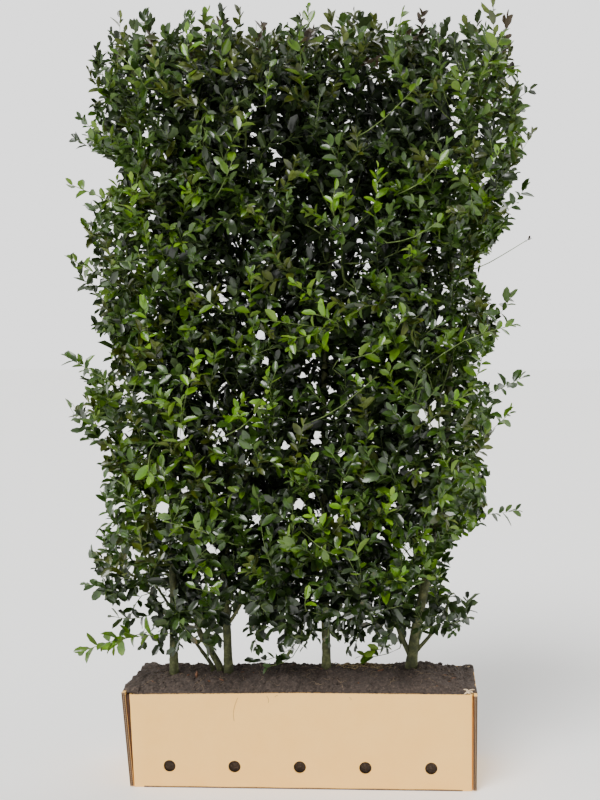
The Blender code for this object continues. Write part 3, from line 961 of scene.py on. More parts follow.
# Where the sky shows right through, given in the middle of the crown's depth
SKY_GAPS = Opening.each(
    (-466, 1165, 9), (-296, 1203, 12), (-133, 1283, 18), (-121, 1209, 15), (-8, 1165, 12),
    (-281, 1073, 15), (-374, 993, 18), (-243, 990, 12), (-64, 955, 15), (31, 973, 18),
    (-383, 862, 12), (-362, 824, 12), (-425, 767, 18), (16, 814, 12), (-17, 784, 18),
    (34, 758, 12), (-144, 739, 15), (-281, 652, 18), (-240, 638, 12), (-419, 506, 15),
    (-487, 506, 15), (-287, 534, 15), (390, 1321, 12), (373, 1094, 12), (340, 1050, 18),
    (379, 1024, 12), (102, 932, 12), (90, 876, 9), (110, 849, 12), (190, 850, 9), (243, 870, 9),
    (276, 885, 9), (314, 888, 9), (84, 749, 12), (146, 723, 15), (258, 782, 12), (299, 650, 21),
    (390, 762, 15), (367, 1939, 12), (373, 1903, 15), (440, 1912, 15), (449, 1873, 15),
    (149, 1920, 8), (282, 1854, 8), (490, 1717, 10), (455, 1773, 10), (-475, 1889, 9),
    (-437, 1761, 15), (-231, 1828, 9), (-14, 1702, 10), (7, 1682, 10), (-141, 1280, 12),
    (-416, 1289, 8), (-446, 1334, 9), (-413, 1794, 9),
)

# Where the front opens on the dark inside of the crown, given in the same way
HOLLOWS = Opening.each(
    (205, 1990, 79), (273, 1975, 47), (72, 1785, 47), (36, 1696, 53), (116, 1607, 38),
    (417, 1180, 68), (-100, 840, 53), (-299, 1979, 41), (-195, 1535, 41), (367, 900, 35),
    (-17, 1564, 41), (-61, 1830, 35),
)


class Stray(NamedTuple):
    """A shoot that stands out of the crown on its own: its tip in mm, and its least free run."""

    tip: tuple[int, int, int]
    tint: Tint
    run: float = 0.12

    @classmethod
    def each(cls, *rows: tuple) -> tuple[Stray, ...]:
        """Strays from the rows of a table."""
        return tuple(cls(*row) for row in rows)


STRAYS = {
    Row.LOW: Stray.each(
        ((478, 20, 490), DARK), ((-300, 100, 350), DARK, 0.14), ((120, 90, 350), MID, 0.14),
        ((350, 80, 380), DARK), ((20, 120, 345), MID), ((-440, 110, 400), MID),
    ),
    Row.WAIST: Stray.each(
        ((-698, -40, 1062), MID, 0.20), ((-672, 50, 1135), DARK, 0.14),
        ((628, 30, 745), MID, 0.18), ((640, -50, 1145), MID, 0.16),
        ((600, -60, 1045), FRESH, 0.14), ((-640, -100, 1200), FRESH),
    ),
    Row.SHOULDER: Stray.each(
        ((-690, 20, 1440), DARK, 0.16), ((-696, -30, 1495), DARK, 0.16),
        ((610, 60, 1385), MID, 0.14), ((645, -20, 1700), MID),
    ),
    Row.TOP: Stray.each(
        ((-525, -100, 2194), OLIVE), ((-469, 20, 2222), DARK), ((-360, -60, 2166), MID),
        ((-245, -20, 2232), DARK), ((-175, -120, 2198), OLIVE), ((-137, 50, 2212), TIP),
        ((18, -100, 2215), FRESH, 0.14), ((-20, 30, 2232), DARK), ((122, -80, 2190), MID, 0.10),
        ((216, -40, 2181), OLIVE, 0.10), ((341, -50, 2210), TIP, 0.13), ((411, 30, 2206), DARK),
        ((548, -70, 2226), OLIVE, 0.15), ((509, 30, 2224), DARK), ((595, 20, 2215), TIP, 0.14),
        ((-630, 50, 2095), MID), ((-345, -30, 2222), MID, 0.13), ((-310, 40, 2232), OLIVE),
        ((-284, -70, 2212), FRESH, 0.13), ((-255, 60, 2232), TIP), ((72, -20, 2214), OLIVE),
        ((118, 60, 2228), MID, 0.13), ((165, -50, 2204), DARK), ((200, 30, 2222), OLIVE),
        ((250, -20, 2192), MID), ((475, 50, 2215), OLIVE), ((-670, 0, 1917), MID, 0.14),
        ((-668, -50, 1842), DARK, 0.14), ((655, -50, 1975), DARK, 0.13),
        ((663, -60, 1848), OLIVE, 0.15), ((102, 20, 2222), MID), ((146, -30, 2226), OLIVE),
        ((190, 50, 2224), DARK), ((-463, -50, 2214), MID), ((-523, 50, 2222), DARK),
        ((-344, 20, 2236), MID),
    ),
}


class Shoot(NamedTuple):
    """A long shoot over the face of the crown: its course in mm, its tint and its leaves' reach."""

    foot: tuple[int, int, int]
    middle: tuple[int, int, int]
    tip: tuple[int, int, int]
    tint: Tint
    leafy: float = 0.14
    leaf_scale: float = 1.08

    @classmethod
    def each(cls, *rows: tuple) -> tuple[Shoot, ...]:
        """Shoots from the rows of a table."""
        return tuple(cls(*row) for row in rows)

    def course(self) -> Array:
        """Its three places in metres."""
        return np.array((self.foot, self.middle, self.tip)) / 1000


SHOOTS = {
    Row.LOW: Shoot.each(
        ((-184, -195, 697), (-269, -222, 738), (-348, -240, 761), FRESH),
        ((-232, -195, 563), (-258, -225, 573), (-287, -240, 585), FRESH, 0.06),
        ((22, -195, 514), (25, -225, 547), (25, -240, 579), YOUNG, 0.07),
        ((6, -195, 737), (69, -230, 691), (115, -240, 673), FRESH, 0.12),
        ((89, -195, 723), (50, -228, 754), (16, -240, 771), MID, 0.12),
        ((-366, -100, 427), (-511, -100, 410), (-628, -100, 372), FRESH, 0.24, 1.3),
        ((-440, -80, 425), (-520, -70, 400), (-560, -60, 368), YOUNG, 0.07, 1.2),
        ((-380, -60, 450), (-420, -50, 420), (-425, -50, 370), DARK, 0.14, 1.15),
        ((-380, -20, 460), (-395, -20, 420), (-380, -10, 365), DARK, 0.14, 1.15),
        ((-448, -60, 466), (-510, -60, 455), (-560, -60, 462), DARK, 0.12),
        ((-518, -40, 540), (-578, -40, 540), (-640, -40, 551), MID, 0.1),
        ((461, 0, 504), (473, 0, 469), (440, 0, 416), DARK, 0.1, 0.9),
        ((-10, -60, 397), (-83, -60, 345), (-160, -60, 330), DARK, 0.15),
        ((-8, -80, 388), (-42, -80, 343), (-100, -80, 325), MID, 0.1),
        ((290, 20, 392), (243, 20, 360), (195, 20, 346), YOUNG, 0.07, 1.2),
        ((284, 30, 360), (218, 30, 330), (162, 30, 328), FRESH, 0.08),
        ((103, -20, 418), (132, -20, 380), (127, -20, 350), DARK, 0.08, 0.9),
        ((-293, -30, 431), (-278, -30, 392), (-267, -30, 356), DARK, 0.07, 0.9),
        ((-420, -30, 480), (-440, -50, 430), (-470, -60, 380), DARK, 0.13, 0.9),
        ((-360, -60, 470), (-350, -80, 420), (-370, -90, 370), DARK, 0.12, 0.9),
        ((-500, 20, 500), (-520, 0, 455), (-530, -20, 410), MID, 0.12, 0.9),
        ((-330, 40, 480), (-320, 60, 440), (-300, 70, 400), DARK, 0.1, 0.9),
        ((90, 30, 480), (100, 50, 430), (90, 60, 385), DARK, 0.1, 0.9),
        ((30, -30, 460), (20, -50, 415), (0, -50, 375), DARK, 0.1, 0.9),
        ((140, 0, 470), (155, -20, 420), (150, -30, 375), SHADE, 0.1, 0.9),
        ((-60, 20, 470), (-70, 20, 430), (-50, 10, 395), DARK, 0.08, 0.9),
    ),
    Row.WAIST: Shoot.each(
        ((-414, -195, 952), (-409, -232, 915), (-406, -240, 890), YOUNG, 0.045, 1.25),
        ((-316, -195, 1103), (-358, -226, 1087), (-397, -240, 1090), YOUNG, 0.08),
        ((6, -195, 1020), (108, -232, 1071), (222, -243, 1165), OLIVE, 0.05, 0.7),
        ((322, -195, 1167), (460, -235, 1262), (590, -235, 1303), FRESH, 0.16),
        ((89, -195, 1200), (196, -232, 1222), (244, -243, 1258), FRESH, 0.11),
        ((-232, -195, 986), (-144, -232, 1029), (-94, -243, 1085), FRESH, 0.1),
        ((-470, -195, 1120), (-560, -215, 1170), (-645, -190, 1215), MID),
    ),
    Row.SHOULDER: Shoot.each(
        ((272, -195, 1665), (339, -230, 1692), (399, -243, 1753), FRESH, 0.12),
        ((245, -195, 1533), (325, -230, 1546), (396, -243, 1590), FRESH, 0.1),
        ((106, -195, 1591), (99, -230, 1633), (107, -243, 1673), YOUNG, 0.08, 1.2),
        ((117, -195, 1306), (69, -230, 1330), (22, -243, 1337), YOUNG, 0.1),
        ((260, -195, 1280), (283, -230, 1306), (298, -243, 1339), FRESH, 0.06),
        ((-499, -195, 1642), (-554, -225, 1664), (-620, -235, 1691), FRESH, 0.12),
        ((-540, -100, 1430), (-620, -80, 1470), (-700, -60, 1515), FRESH, 0.12),
        ((-180, -195, 1330), (-230, -230, 1360), (-290, -243, 1410), FRESH, 0.12),
        ((500, -120, 1468), (560, -100, 1500), (650, -90, 1555), TIP, 0.02, 0.4),
    ),
    Row.TOP: Shoot.each(
        ((134, -195, 1813), (234, -232, 1863), (336, -243, 1961), FRESH, 0.17, 1.2),
        ((499, -195, 1976), (533, -225, 2036), (565, -238, 2095), FRESH, 0.15, 1.25),
        ((264, -195, 2090), (281, -210, 2125), (290, -215, 2160), FRESH, 0.06, 1.2),
        ((-100, -195, 1900), (-80, -228, 1960), (-70, -243, 2020), FRESH, 0.12),
        ((-420, -195, 1960), (-450, -228, 2010), (-490, -240, 2050), FRESH, 0.12),
        ((-230, -195, 1660), (-190, -230, 1720), (-170, -243, 1770), FRESH, 0.12),
    ),
}


@dataclass
class Crown:
    """The foliage: how the masses share the crown, and where their finest twigs end."""

    limbs: Limbs
    outline: Outline = field(default_factory=Outline)
    columns: int = 4
    column_step: float = 0.045
    depth_step: float = 0.08
    overlap: float = 0.035
    tip_spacing: float = 0.049
    skin: float = 0.62
    hollow_floor: float = -0.06
    trials: int = 9000
    reach: tuple[float, float, float] = (0.24, 0.26, 0.32)
    seed: int = 11

    # Gaps above this height are drawn a little smaller
    HIGH = 1.55
    HIGH_GAP = 0.85

    # How full the heart of the crown is at each height, beside the skin
    HEART_SHARE = ((1.4, 0.90), (1.7, 1.30))

    # How full the crown is at each height
    FULLNESS = (
        (0.37, 0.0), (0.43, 0.32), (0.52, 0.72), (0.66, 1.05), (1.25, 1.28), (1.55, 1.42),
        (2.30, 1.42),
    )

    # The crown's left and right edges as the solids share them out
    LEFT = (
        (0.33, -0.52), (0.40, -0.62), (0.53, -0.57), (0.76, -0.60), (0.95, -0.60), (1.07, -0.69),
        (1.30, -0.64), (1.50, -0.685), (1.67, -0.60), (1.84, -0.66), (2.07, -0.63), (2.20, -0.57),
    )
    RIGHT = (
        (0.33, 0.40), (0.46, 0.47), (0.60, 0.43), (0.76, 0.59), (0.97, 0.53), (1.16, 0.61),
        (1.27, 0.54), (1.40, 0.585), (1.67, 0.59), (1.84, 0.66), (2.07, 0.605), (2.20, 0.575),
    )

    def __post_init__(self) -> None:
        """Places the masses' centres."""
        self.keepout = Keepout(self.limbs)
        self.centres = {}
        for row_number, row in enumerate(Row):
            for column in range(self.columns):
                height = row.value + (self.column_step if column % 2 == 0 else -self.column_step)
                left, right = (
                    float(np.interp(height, *zip(*edge))) for edge in (self.LEFT, self.RIGHT)
                )
                x = left + (right - left) * (column + 0.5) / self.columns
                y = self.depth_step if (row_number + column) % 2 else -self.depth_step
                self.centres[(row, column)] = np.array((x, y, height))

    def holds(self, key: tuple, points: Array) -> Array:
        """Which points are in a mass's space, or just past its border with the next.

        Args:
            key: the mass's row and column.
            points: places, N by 3.

        Returns:
            A truth value a point.
        """
        own = self.centres[key]
        others = np.array([c for other, c in self.centres.items() if other != key])
        to_others = ((points[:, None, :] - others[None]) ** 2).sum(2)
        to_own = ((points - own) ** 2).sum(1)
        apart = np.linalg.norm(others - own, axis=1)
        past_border = (to_others - to_own[:, None]) / (2 * apart)
        return (past_border > -self.overlap).all(axis=1) & (self.outline.level(points) <= 1)

    def nearest_mass(self, row: Row, point: Array) -> int:
        """The column of the row's mass whose centre is nearest to a point."""
        centres = [self.centres[(row, column)] for column in range(self.columns)]
        return int(np.argmin([np.linalg.norm(centre - point) for centre in centres]))

    def seen_at(self, points: Array) -> Array:
        """Where each point shows against the middle of the crown's depth, seen from in front.

        Args:
            points: places, N by 3.

        Returns:
            Across and up for each point.
        """
        x, y, z = VIEWPOINT
        share = -y / (points[:, 1] - y)
        return np.stack((x + (points[:, 0] - x) * share, z + (points[:, 2] - z) * share), axis=1)

    def in_sky(self, points: Array, spare: float = 0.0) -> Array:
        """Which points would close a gap that the sky shows through.

        Args:
            points: places, N by 3.
            spare: what is added to each gap's radius.

        Returns:
            A truth value a point.
        """
        seen = self.seen_at(points)
        shut = np.zeros(len(points), bool)
        for gap in SKY_GAPS:
            wide = gap.radius * (self.HIGH_GAP if gap.z > self.HIGH else 1.0)
            shut |= np.hypot(seen[:, 0] - gap.x, seen[:, 1] - gap.z) < wide + spare
        return shut

    def at_hollow(self, points: Array) -> Array:
        """Which points are in a hollow of the front, or behind one.

        Args:
            points: places, N by 3.

        Returns:
            A truth value a point.
        """
        seen = self.seen_at(points)
        ragged = NOISE.at(points * (1.0, 0.5, 1.0) + 2.3, 0.06, 2) * 0.018
        inside = np.zeros(len(points), bool)
        for hollow in HOLLOWS:
            far = np.hypot(seen[:, 0] - hollow.x, seen[:, 1] - hollow.z)
            inside |= far < hollow.radius + ragged
        return inside

    def readiness(self, points: Array) -> Array:
        """How closely twigs end at each place: thin at the foot, in patches and in hollows.

        Args:
            points: places, N by 3.

        Returns:
            A share from none to a little over one for each point.
        """
        height = points[:, 2]
        heart = np.interp(height, *zip(*self.HEART_SHARE))
        ready = np.where(self.outline.level(points) > self.skin, 1.0, heart)
        patch = NOISE.at(points * (1.0, 0.6, 1.3) + 4.7, 0.17, 2)
        thin = (np.abs(points[:, 1]) > 0.10) & (patch < -0.40)
        ready = np.where(thin, ready * 0.2, ready)
        hollow = self.at_hollow(points)
        ready = np.where(hollow & (points[:, 1] < self.hollow_floor), ready * 0.04, ready)
        ready = np.where(hollow & (points[:, 1] >= self.hollow_floor), 1.3, ready)
        ready *= np.interp(height, *zip(*self.FULLNESS))
        return np.where(self.in_sky(points, 0.002), 0.0, ready)

    def tips(self, key: tuple, rng: Draws) -> Array:
        """Where the finest twigs of a mass end, spread as closely as each place is full.

        Args:
            key: the mass's row and column.
            rng: the seeded source of its draws.

        Returns:
            An array of tips, N by 3.
        """
        points = rng.uniform(-1, 1, (self.trials, 3)) * self.reach + self.centres[key]
        points = points[self.holds(key, points)]
        ready = self.readiness(points)
        points, ready = points[ready > 0.01], ready[ready > 0.01]
        spacing = self.tip_spacing * ready ** (-1 / 3)
        chosen = np.empty((0, 3))
        for point, least in zip(points, spacing):
            if not len(chosen) or np.linalg.norm(chosen - point, axis=1).min() > least:
                chosen = np.vstack((chosen, point))
        return chosen


@dataclass
class Twig:
    """A fine twig: its course, its radii, and how its leaves stand."""

    way: Array
    foot_radius: float
    tip_radius: float
    phase: float
    tint: Tint
    leafy: float = 0.15
    spacing: float = 0.0092
    leaf_scale: float = 1.0
    spread_scale: float = 1.0

    def stick(self) -> tuple[Array, Array]:
        """Its wood: a thin tube on every second point of its course."""
        way = smooth_way(self.way, max(4, (len(self.way) + 1) // 2))
        return tube(way, np.linspace(self.foot_radius, self.tip_radius, len(way)), 4)


@dataclass
class MassGrower:
    """Grows one mass: leader, side twigs and finer twigs out to every tip."""

    crown: Crown
    key: tuple
    rng: Draws
    laterals: int = 14
    lateral_first: float = 0.12
    lateral_reach: float = 0.24
    rise_foot: float = -42
    rise_head: float = 66
    rise_spread: float = 14
    flatten: float = 0.55
    leader_rings: int = 16
    lateral_rings: int = 8
    leader_radii: tuple[float, float] = (0.0042, 0.0024)
    lateral_radii: tuple[float, float] = (0.0026, 0.0014)
    shoot_radii: tuple[float, float] = (0.0017, 0.0009)
    fine_tip: float = 0.0007
    inner_spacing: float = 0.02
    shoot_spacing: float = 0.0115
    least_twig: float = 0.03
    runners: int = 6
    last_phase: float = 6.28

    # Leaves in the heart are fewer and larger, on upright tips small and close, and on strays apart
    HEART_LEAVES = {"leaf_scale": 1.18, "spacing": 0.0108}
    UPRIGHT_LEAVES = {"leaf_scale": 0.94, "spread_scale": 0.76, "spacing": 0.0092}
    STRAY_LEAVES = {"spacing": 0.0105, "leaf_scale": 1.05}
    RUNNER_LEAVES = {"spacing": 0.0125, "leaf_scale": 1.12, "leafy": 0.17}
    RUNNER_TINTS = {FRESH: 0.5, YOUNG: 0.2, MID: 0.3}

    # Painted light and shade: how much lighter the sprays' tints are towards the sides, and at each
    # height
    SIDE_PAINTED_LIGHT = ((0.30, 0.52), (0.0, 0.22))
    HEIGHT_PAINTED_LIGHT = ((0.6, 1.1, 1.7, 1.85, 2.02, 2.08), (0.10, 0.06, 0.0, -0.14, -0.14, 0.0))

    def __post_init__(self) -> None:
        """Starts with no twigs and nothing to grow from."""
        self.twigs: list[Twig] = []
        self.nodes = np.empty((0, 3))
        self.headings = np.empty((0, 3))
        self.sizes = np.empty(0)

    def phase(self) -> float:
        """Draws the turn that a twig's first leaf stands at."""
        return self.rng.uniform(0, self.last_phase)

    def note(self, way: Array, radii: Array, last: float = 1.0) -> None:
        """Takes a twig's points as places to grow from.

        Args:
            way: its points.
            radii: its radius at each.
            last: the share of its length that others can grow from.
        """
        stop = max(2, int(len(way) * last))
        self.nodes = np.vstack((self.nodes, way[1:stop]))
        self.headings = np.vstack((self.headings, unit(np.gradient(way, axis=0))[1:stop]))
        self.sizes = np.concatenate((self.sizes, radii[1:stop]))

    def leader(self) -> Array:
        """The main twig: straight out of its limb, to the heart of its space and up to its head.

        Returns:
            The points of its course.
        """
        row, column = self.key
        points, _ = self.crown.limbs.shapes[CARRIERS[row][column]]
        root, heading = points[-1], unit(points[-1] - points[-2])
        centre = self.crown.centres[self.key]
        heart = root + (centre - (0.0, 0.0, 0.02) - root) * 0.85
        head = np.array((centre[0], heart[1] * 0.75, centre[2] + 0.115))
        return smooth_way(np.vstack((root, root + heading * 0.02, heart, head)), self.leader_rings)

    def grow(self) -> list[Twig]:
        """Grows every twig of the mass.

        Returns:
            The twigs, from the leader to the finest.
        """
        rng = self.rng
        leader = self.leader()
        # The leader's leaves take the near-black shade tint: painted shade in the heart
        leaves = (SHADE, 0.10, self.inner_spacing)
        self.twigs.append(Twig(leader, *self.leader_radii, self.phase(), *leaves))
        self.note(leader, np.linspace(*self.leader_radii, self.leader_rings))
        phase = rng.uniform(0, FULL_TURN)
        for i in range(self.laterals):
            self.grow_lateral(leader, i, phase)
        tips = self.crown.tips(self.key, rng)
        gaps = np.linalg.norm(tips[:, None] - self.nodes[None], axis=2).min(axis=1)
        for tip in tips[np.argsort(gaps)]:
            tint = self.tint(tip)
            leaves = self.HEART_LEAVES if tint is SHADE else {}
            self.grow_to(tip, tint, self.least_twig, **leaves)
        self.grow_runners(tips)
        row, column = self.key
        for shoot in SHOOTS[row]:
            if self.crown.nearest_mass(row, shoot.course()[0]) == column:
                self.grow_along(shoot)
        for stray in STRAYS[row]:
            tip = np.array(stray.tip) / 1000
            if self.crown.nearest_mass(row, tip) == column:
                self.grow_to(tip, stray.tint, stray.run, **self.STRAY_LEAVES)
        return self.twigs

    def grow_lateral(self, leader: Array, index: int, phase: float) -> None:
        """Adds one side twig: it turns by the golden angle and rises more steeply near the head.

        Args:
            leader: the leader's points.
            index: its number, from the foot up.
            phase: the turn that the first one stands at.
        """
        share = self.lateral_first + (1 - self.lateral_first) * index / (self.laterals - 1)
        foot = leader[min(self.leader_rings - 1, round(share * (self.leader_rings - 1)))]
        turn = phase + index * GOLDEN_ANGLE
        climb = self.rise_foot + (self.rise_head - self.rise_foot) * index / (self.laterals - 1)
        rise = math.radians(climb + self.rng.uniform(-self.rise_spread, self.rise_spread))
        level = unit(np.array((math.cos(turn), math.sin(turn) * self.flatten, 0.0)))
        heading = level * math.cos(rise) + (0.0, 0.0, math.sin(rise))
        run = self.free_run(foot, heading) * self.rng.uniform(0.6, 0.85)
        if run < self.least_twig:
            return
        lift = np.array((0, 0, 0.18 * run))
        course = np.vstack((foot, foot + heading * run * 0.5, foot + heading * run + lift))
        way = smooth_way(course, self.lateral_rings)
        tint = self.tint(way[-1])
        self.twigs.append(
            Twig(way, *self.lateral_radii, self.phase(), tint, spacing=self.inner_spacing)
        )
        self.note(way, np.linspace(*self.lateral_radii, self.lateral_rings))

    def grow_to(self, tip: Array, tint: Tint, least: float, **leaves: float) -> None:
        """Grows a twig to a tip from the best node: near, below, and heading its way.

        Args:
            tip: where it ends.
            tint: its leaves' colour.
            least: the shortest that it may be.
            leaves: how its leaves stand, where they differ from the usual.
        """
        away = tip - self.nodes
        far = np.linalg.norm(away, axis=1)
        aim = away / np.maximum(far, 1e-6)[:, None]
        cost = far * (1.7 - 0.5 * (aim * self.headings).sum(1) - 0.4 * aim[:, 2])
        best = int(np.argmin(cost + np.where(far < least, 1, 0)))
        run = far[best]
        start = self.nodes[best]
        bend = start + (self.headings[best] * 0.55 + aim[best] * 0.45) * run * 0.45
        bend += self.rng.normal(0, 0.05, 3) * run
        upright = tip[2] > 2.03
        if upright:
            bend = bend * (0.4, 0.4, 1.0) + tip * (0.6, 0.6, 0.0)
        below_top = tip[2] < self.crown.outline.top(tip[1]) - 0.02
        end = tip + (0, 0, 0.10 * run if below_top else 0.0)
        way = smooth_way(np.vstack((start, bend, end)), max(5, int(run / 0.018)))
        size = min(self.sizes[best] * 0.85, 0.0009 + 0.007 * run)
        if upright:
            leaves = {**self.UPRIGHT_LEAVES, **leaves}
        self.twigs.append(Twig(way, size, self.fine_tip, self.phase(), tint, **leaves))
        self.note(way, np.linspace(size, self.fine_tip, len(way)), 0.7)

    def grow_along(self, shoot: Shoot) -> None:
        """Adds a long shoot, from the node that is nearest to its foot.

        Args:
            shoot: the shoot.
        """
        course = shoot.course()
        nearest = int(np.argmin(np.linalg.norm(self.nodes - course[0], axis=1)))
        way = smooth_way(np.vstack((self.nodes[nearest], course)), 12)
        leaves = (shoot.tint, shoot.leafy, self.shoot_spacing, shoot.leaf_scale)
        self.twigs.append(Twig(way, *self.shoot_radii, self.phase(), *leaves))

    def grow_runners(self, tips: Array) -> None:
        """Long young shoots that arch over the faces of the crown, with larger leaves in a row.

        Args:
            tips: where the mass's finest twigs end.
        """
        level = self.crown.outline.level(tips)
        outer = tips[(level > 0.86) & (np.abs(tips[:, 1]) > 0.17) & (tips[:, 2] > 0.55)]
        for tip in outer[: self.runners]:
            side = math.copysign(1.0, tip[1])
            end = np.array((tip[0], side * self.rng.uniform(0.218, 0.232), tip[2] + 0.02))
            if self.crown.outline.level(end[None], 0.012)[0] > 1:
                continue
            shares = self.RUNNER_TINTS
            tint = Tint(self.rng.choice(list(shares), p=list(shares.values())))
            self.grow_to(end, tint, self.rng.uniform(0.13, 0.22), **self.RUNNER_LEAVES)

    def free_run(self, foot: Array, heading: Array) -> float:
        """How far a side twig can run before it leaves the space or nears a limb.

        Args:
            foot: where it starts.
            heading: the way that it goes.

        Returns:
            The length.
        """
        distances = np.arange(0.01, self.lateral_reach, 0.01)
        points = foot + distances[:, None] * heading
        free = self.crown.holds(self.key, points)
        free &= self.crown.keepout.distance(points) > 0.006
        blocked = np.nonzero(~free[1:])[0]
        return float(distances[blocked[0]] if len(blocked) else distances[-1])

    def tint(self, tip: Array) -> Tint:
        """Deals a tint: painted shade in the heart, painted light at the sides, and young and
        bronzed ones outside.

        Args:
            tip: where the spray's twig ends.

        Returns:
            The tint.
        """
        level = float(self.crown.outline.level(tip[None])[0])
        draw = self.rng.uniform()
        clump = float(NOISE.at(tip[None], 0.15, 2)[0])
        # Painted light: the tints lighten towards the sides, and lighten or darken with height
        light = float(np.interp(abs(tip[0]), *self.SIDE_PAINTED_LIGHT))
        light += float(np.interp(tip[2], *self.HEIGHT_PAINTED_LIGHT))
        # Near-black painted shade for sprays in the heart of the crown
        if level < 0.70 and tip[2] < 2.05:
            return SHADE if draw < 0.75 - 1.2 * light else DARK
        if tip[2] < 0.56 and draw < 0.55:
            return DARK
        if tip[2] > 2.04 and draw < 0.24:
            return OLIVE if draw < 0.19 else TIP
        if draw < 0.010 + 0.05 * max(0.0, clump):
            return YOUNG
        if draw < 0.10 + 0.18 * max(0.0, clump) + 0.3 * max(0.0, light):
            return FRESH
        if draw < 0.26 + 0.3 * max(0.0, light):
            return OLIVE
        return MID if draw < 0.60 + 0.3 * clump + light else DARK


class Sheet(Enum):
    """The two faces of a leaf blade, and where the middle point of each row stands."""

    UPPER = 2
    UNDER = 3


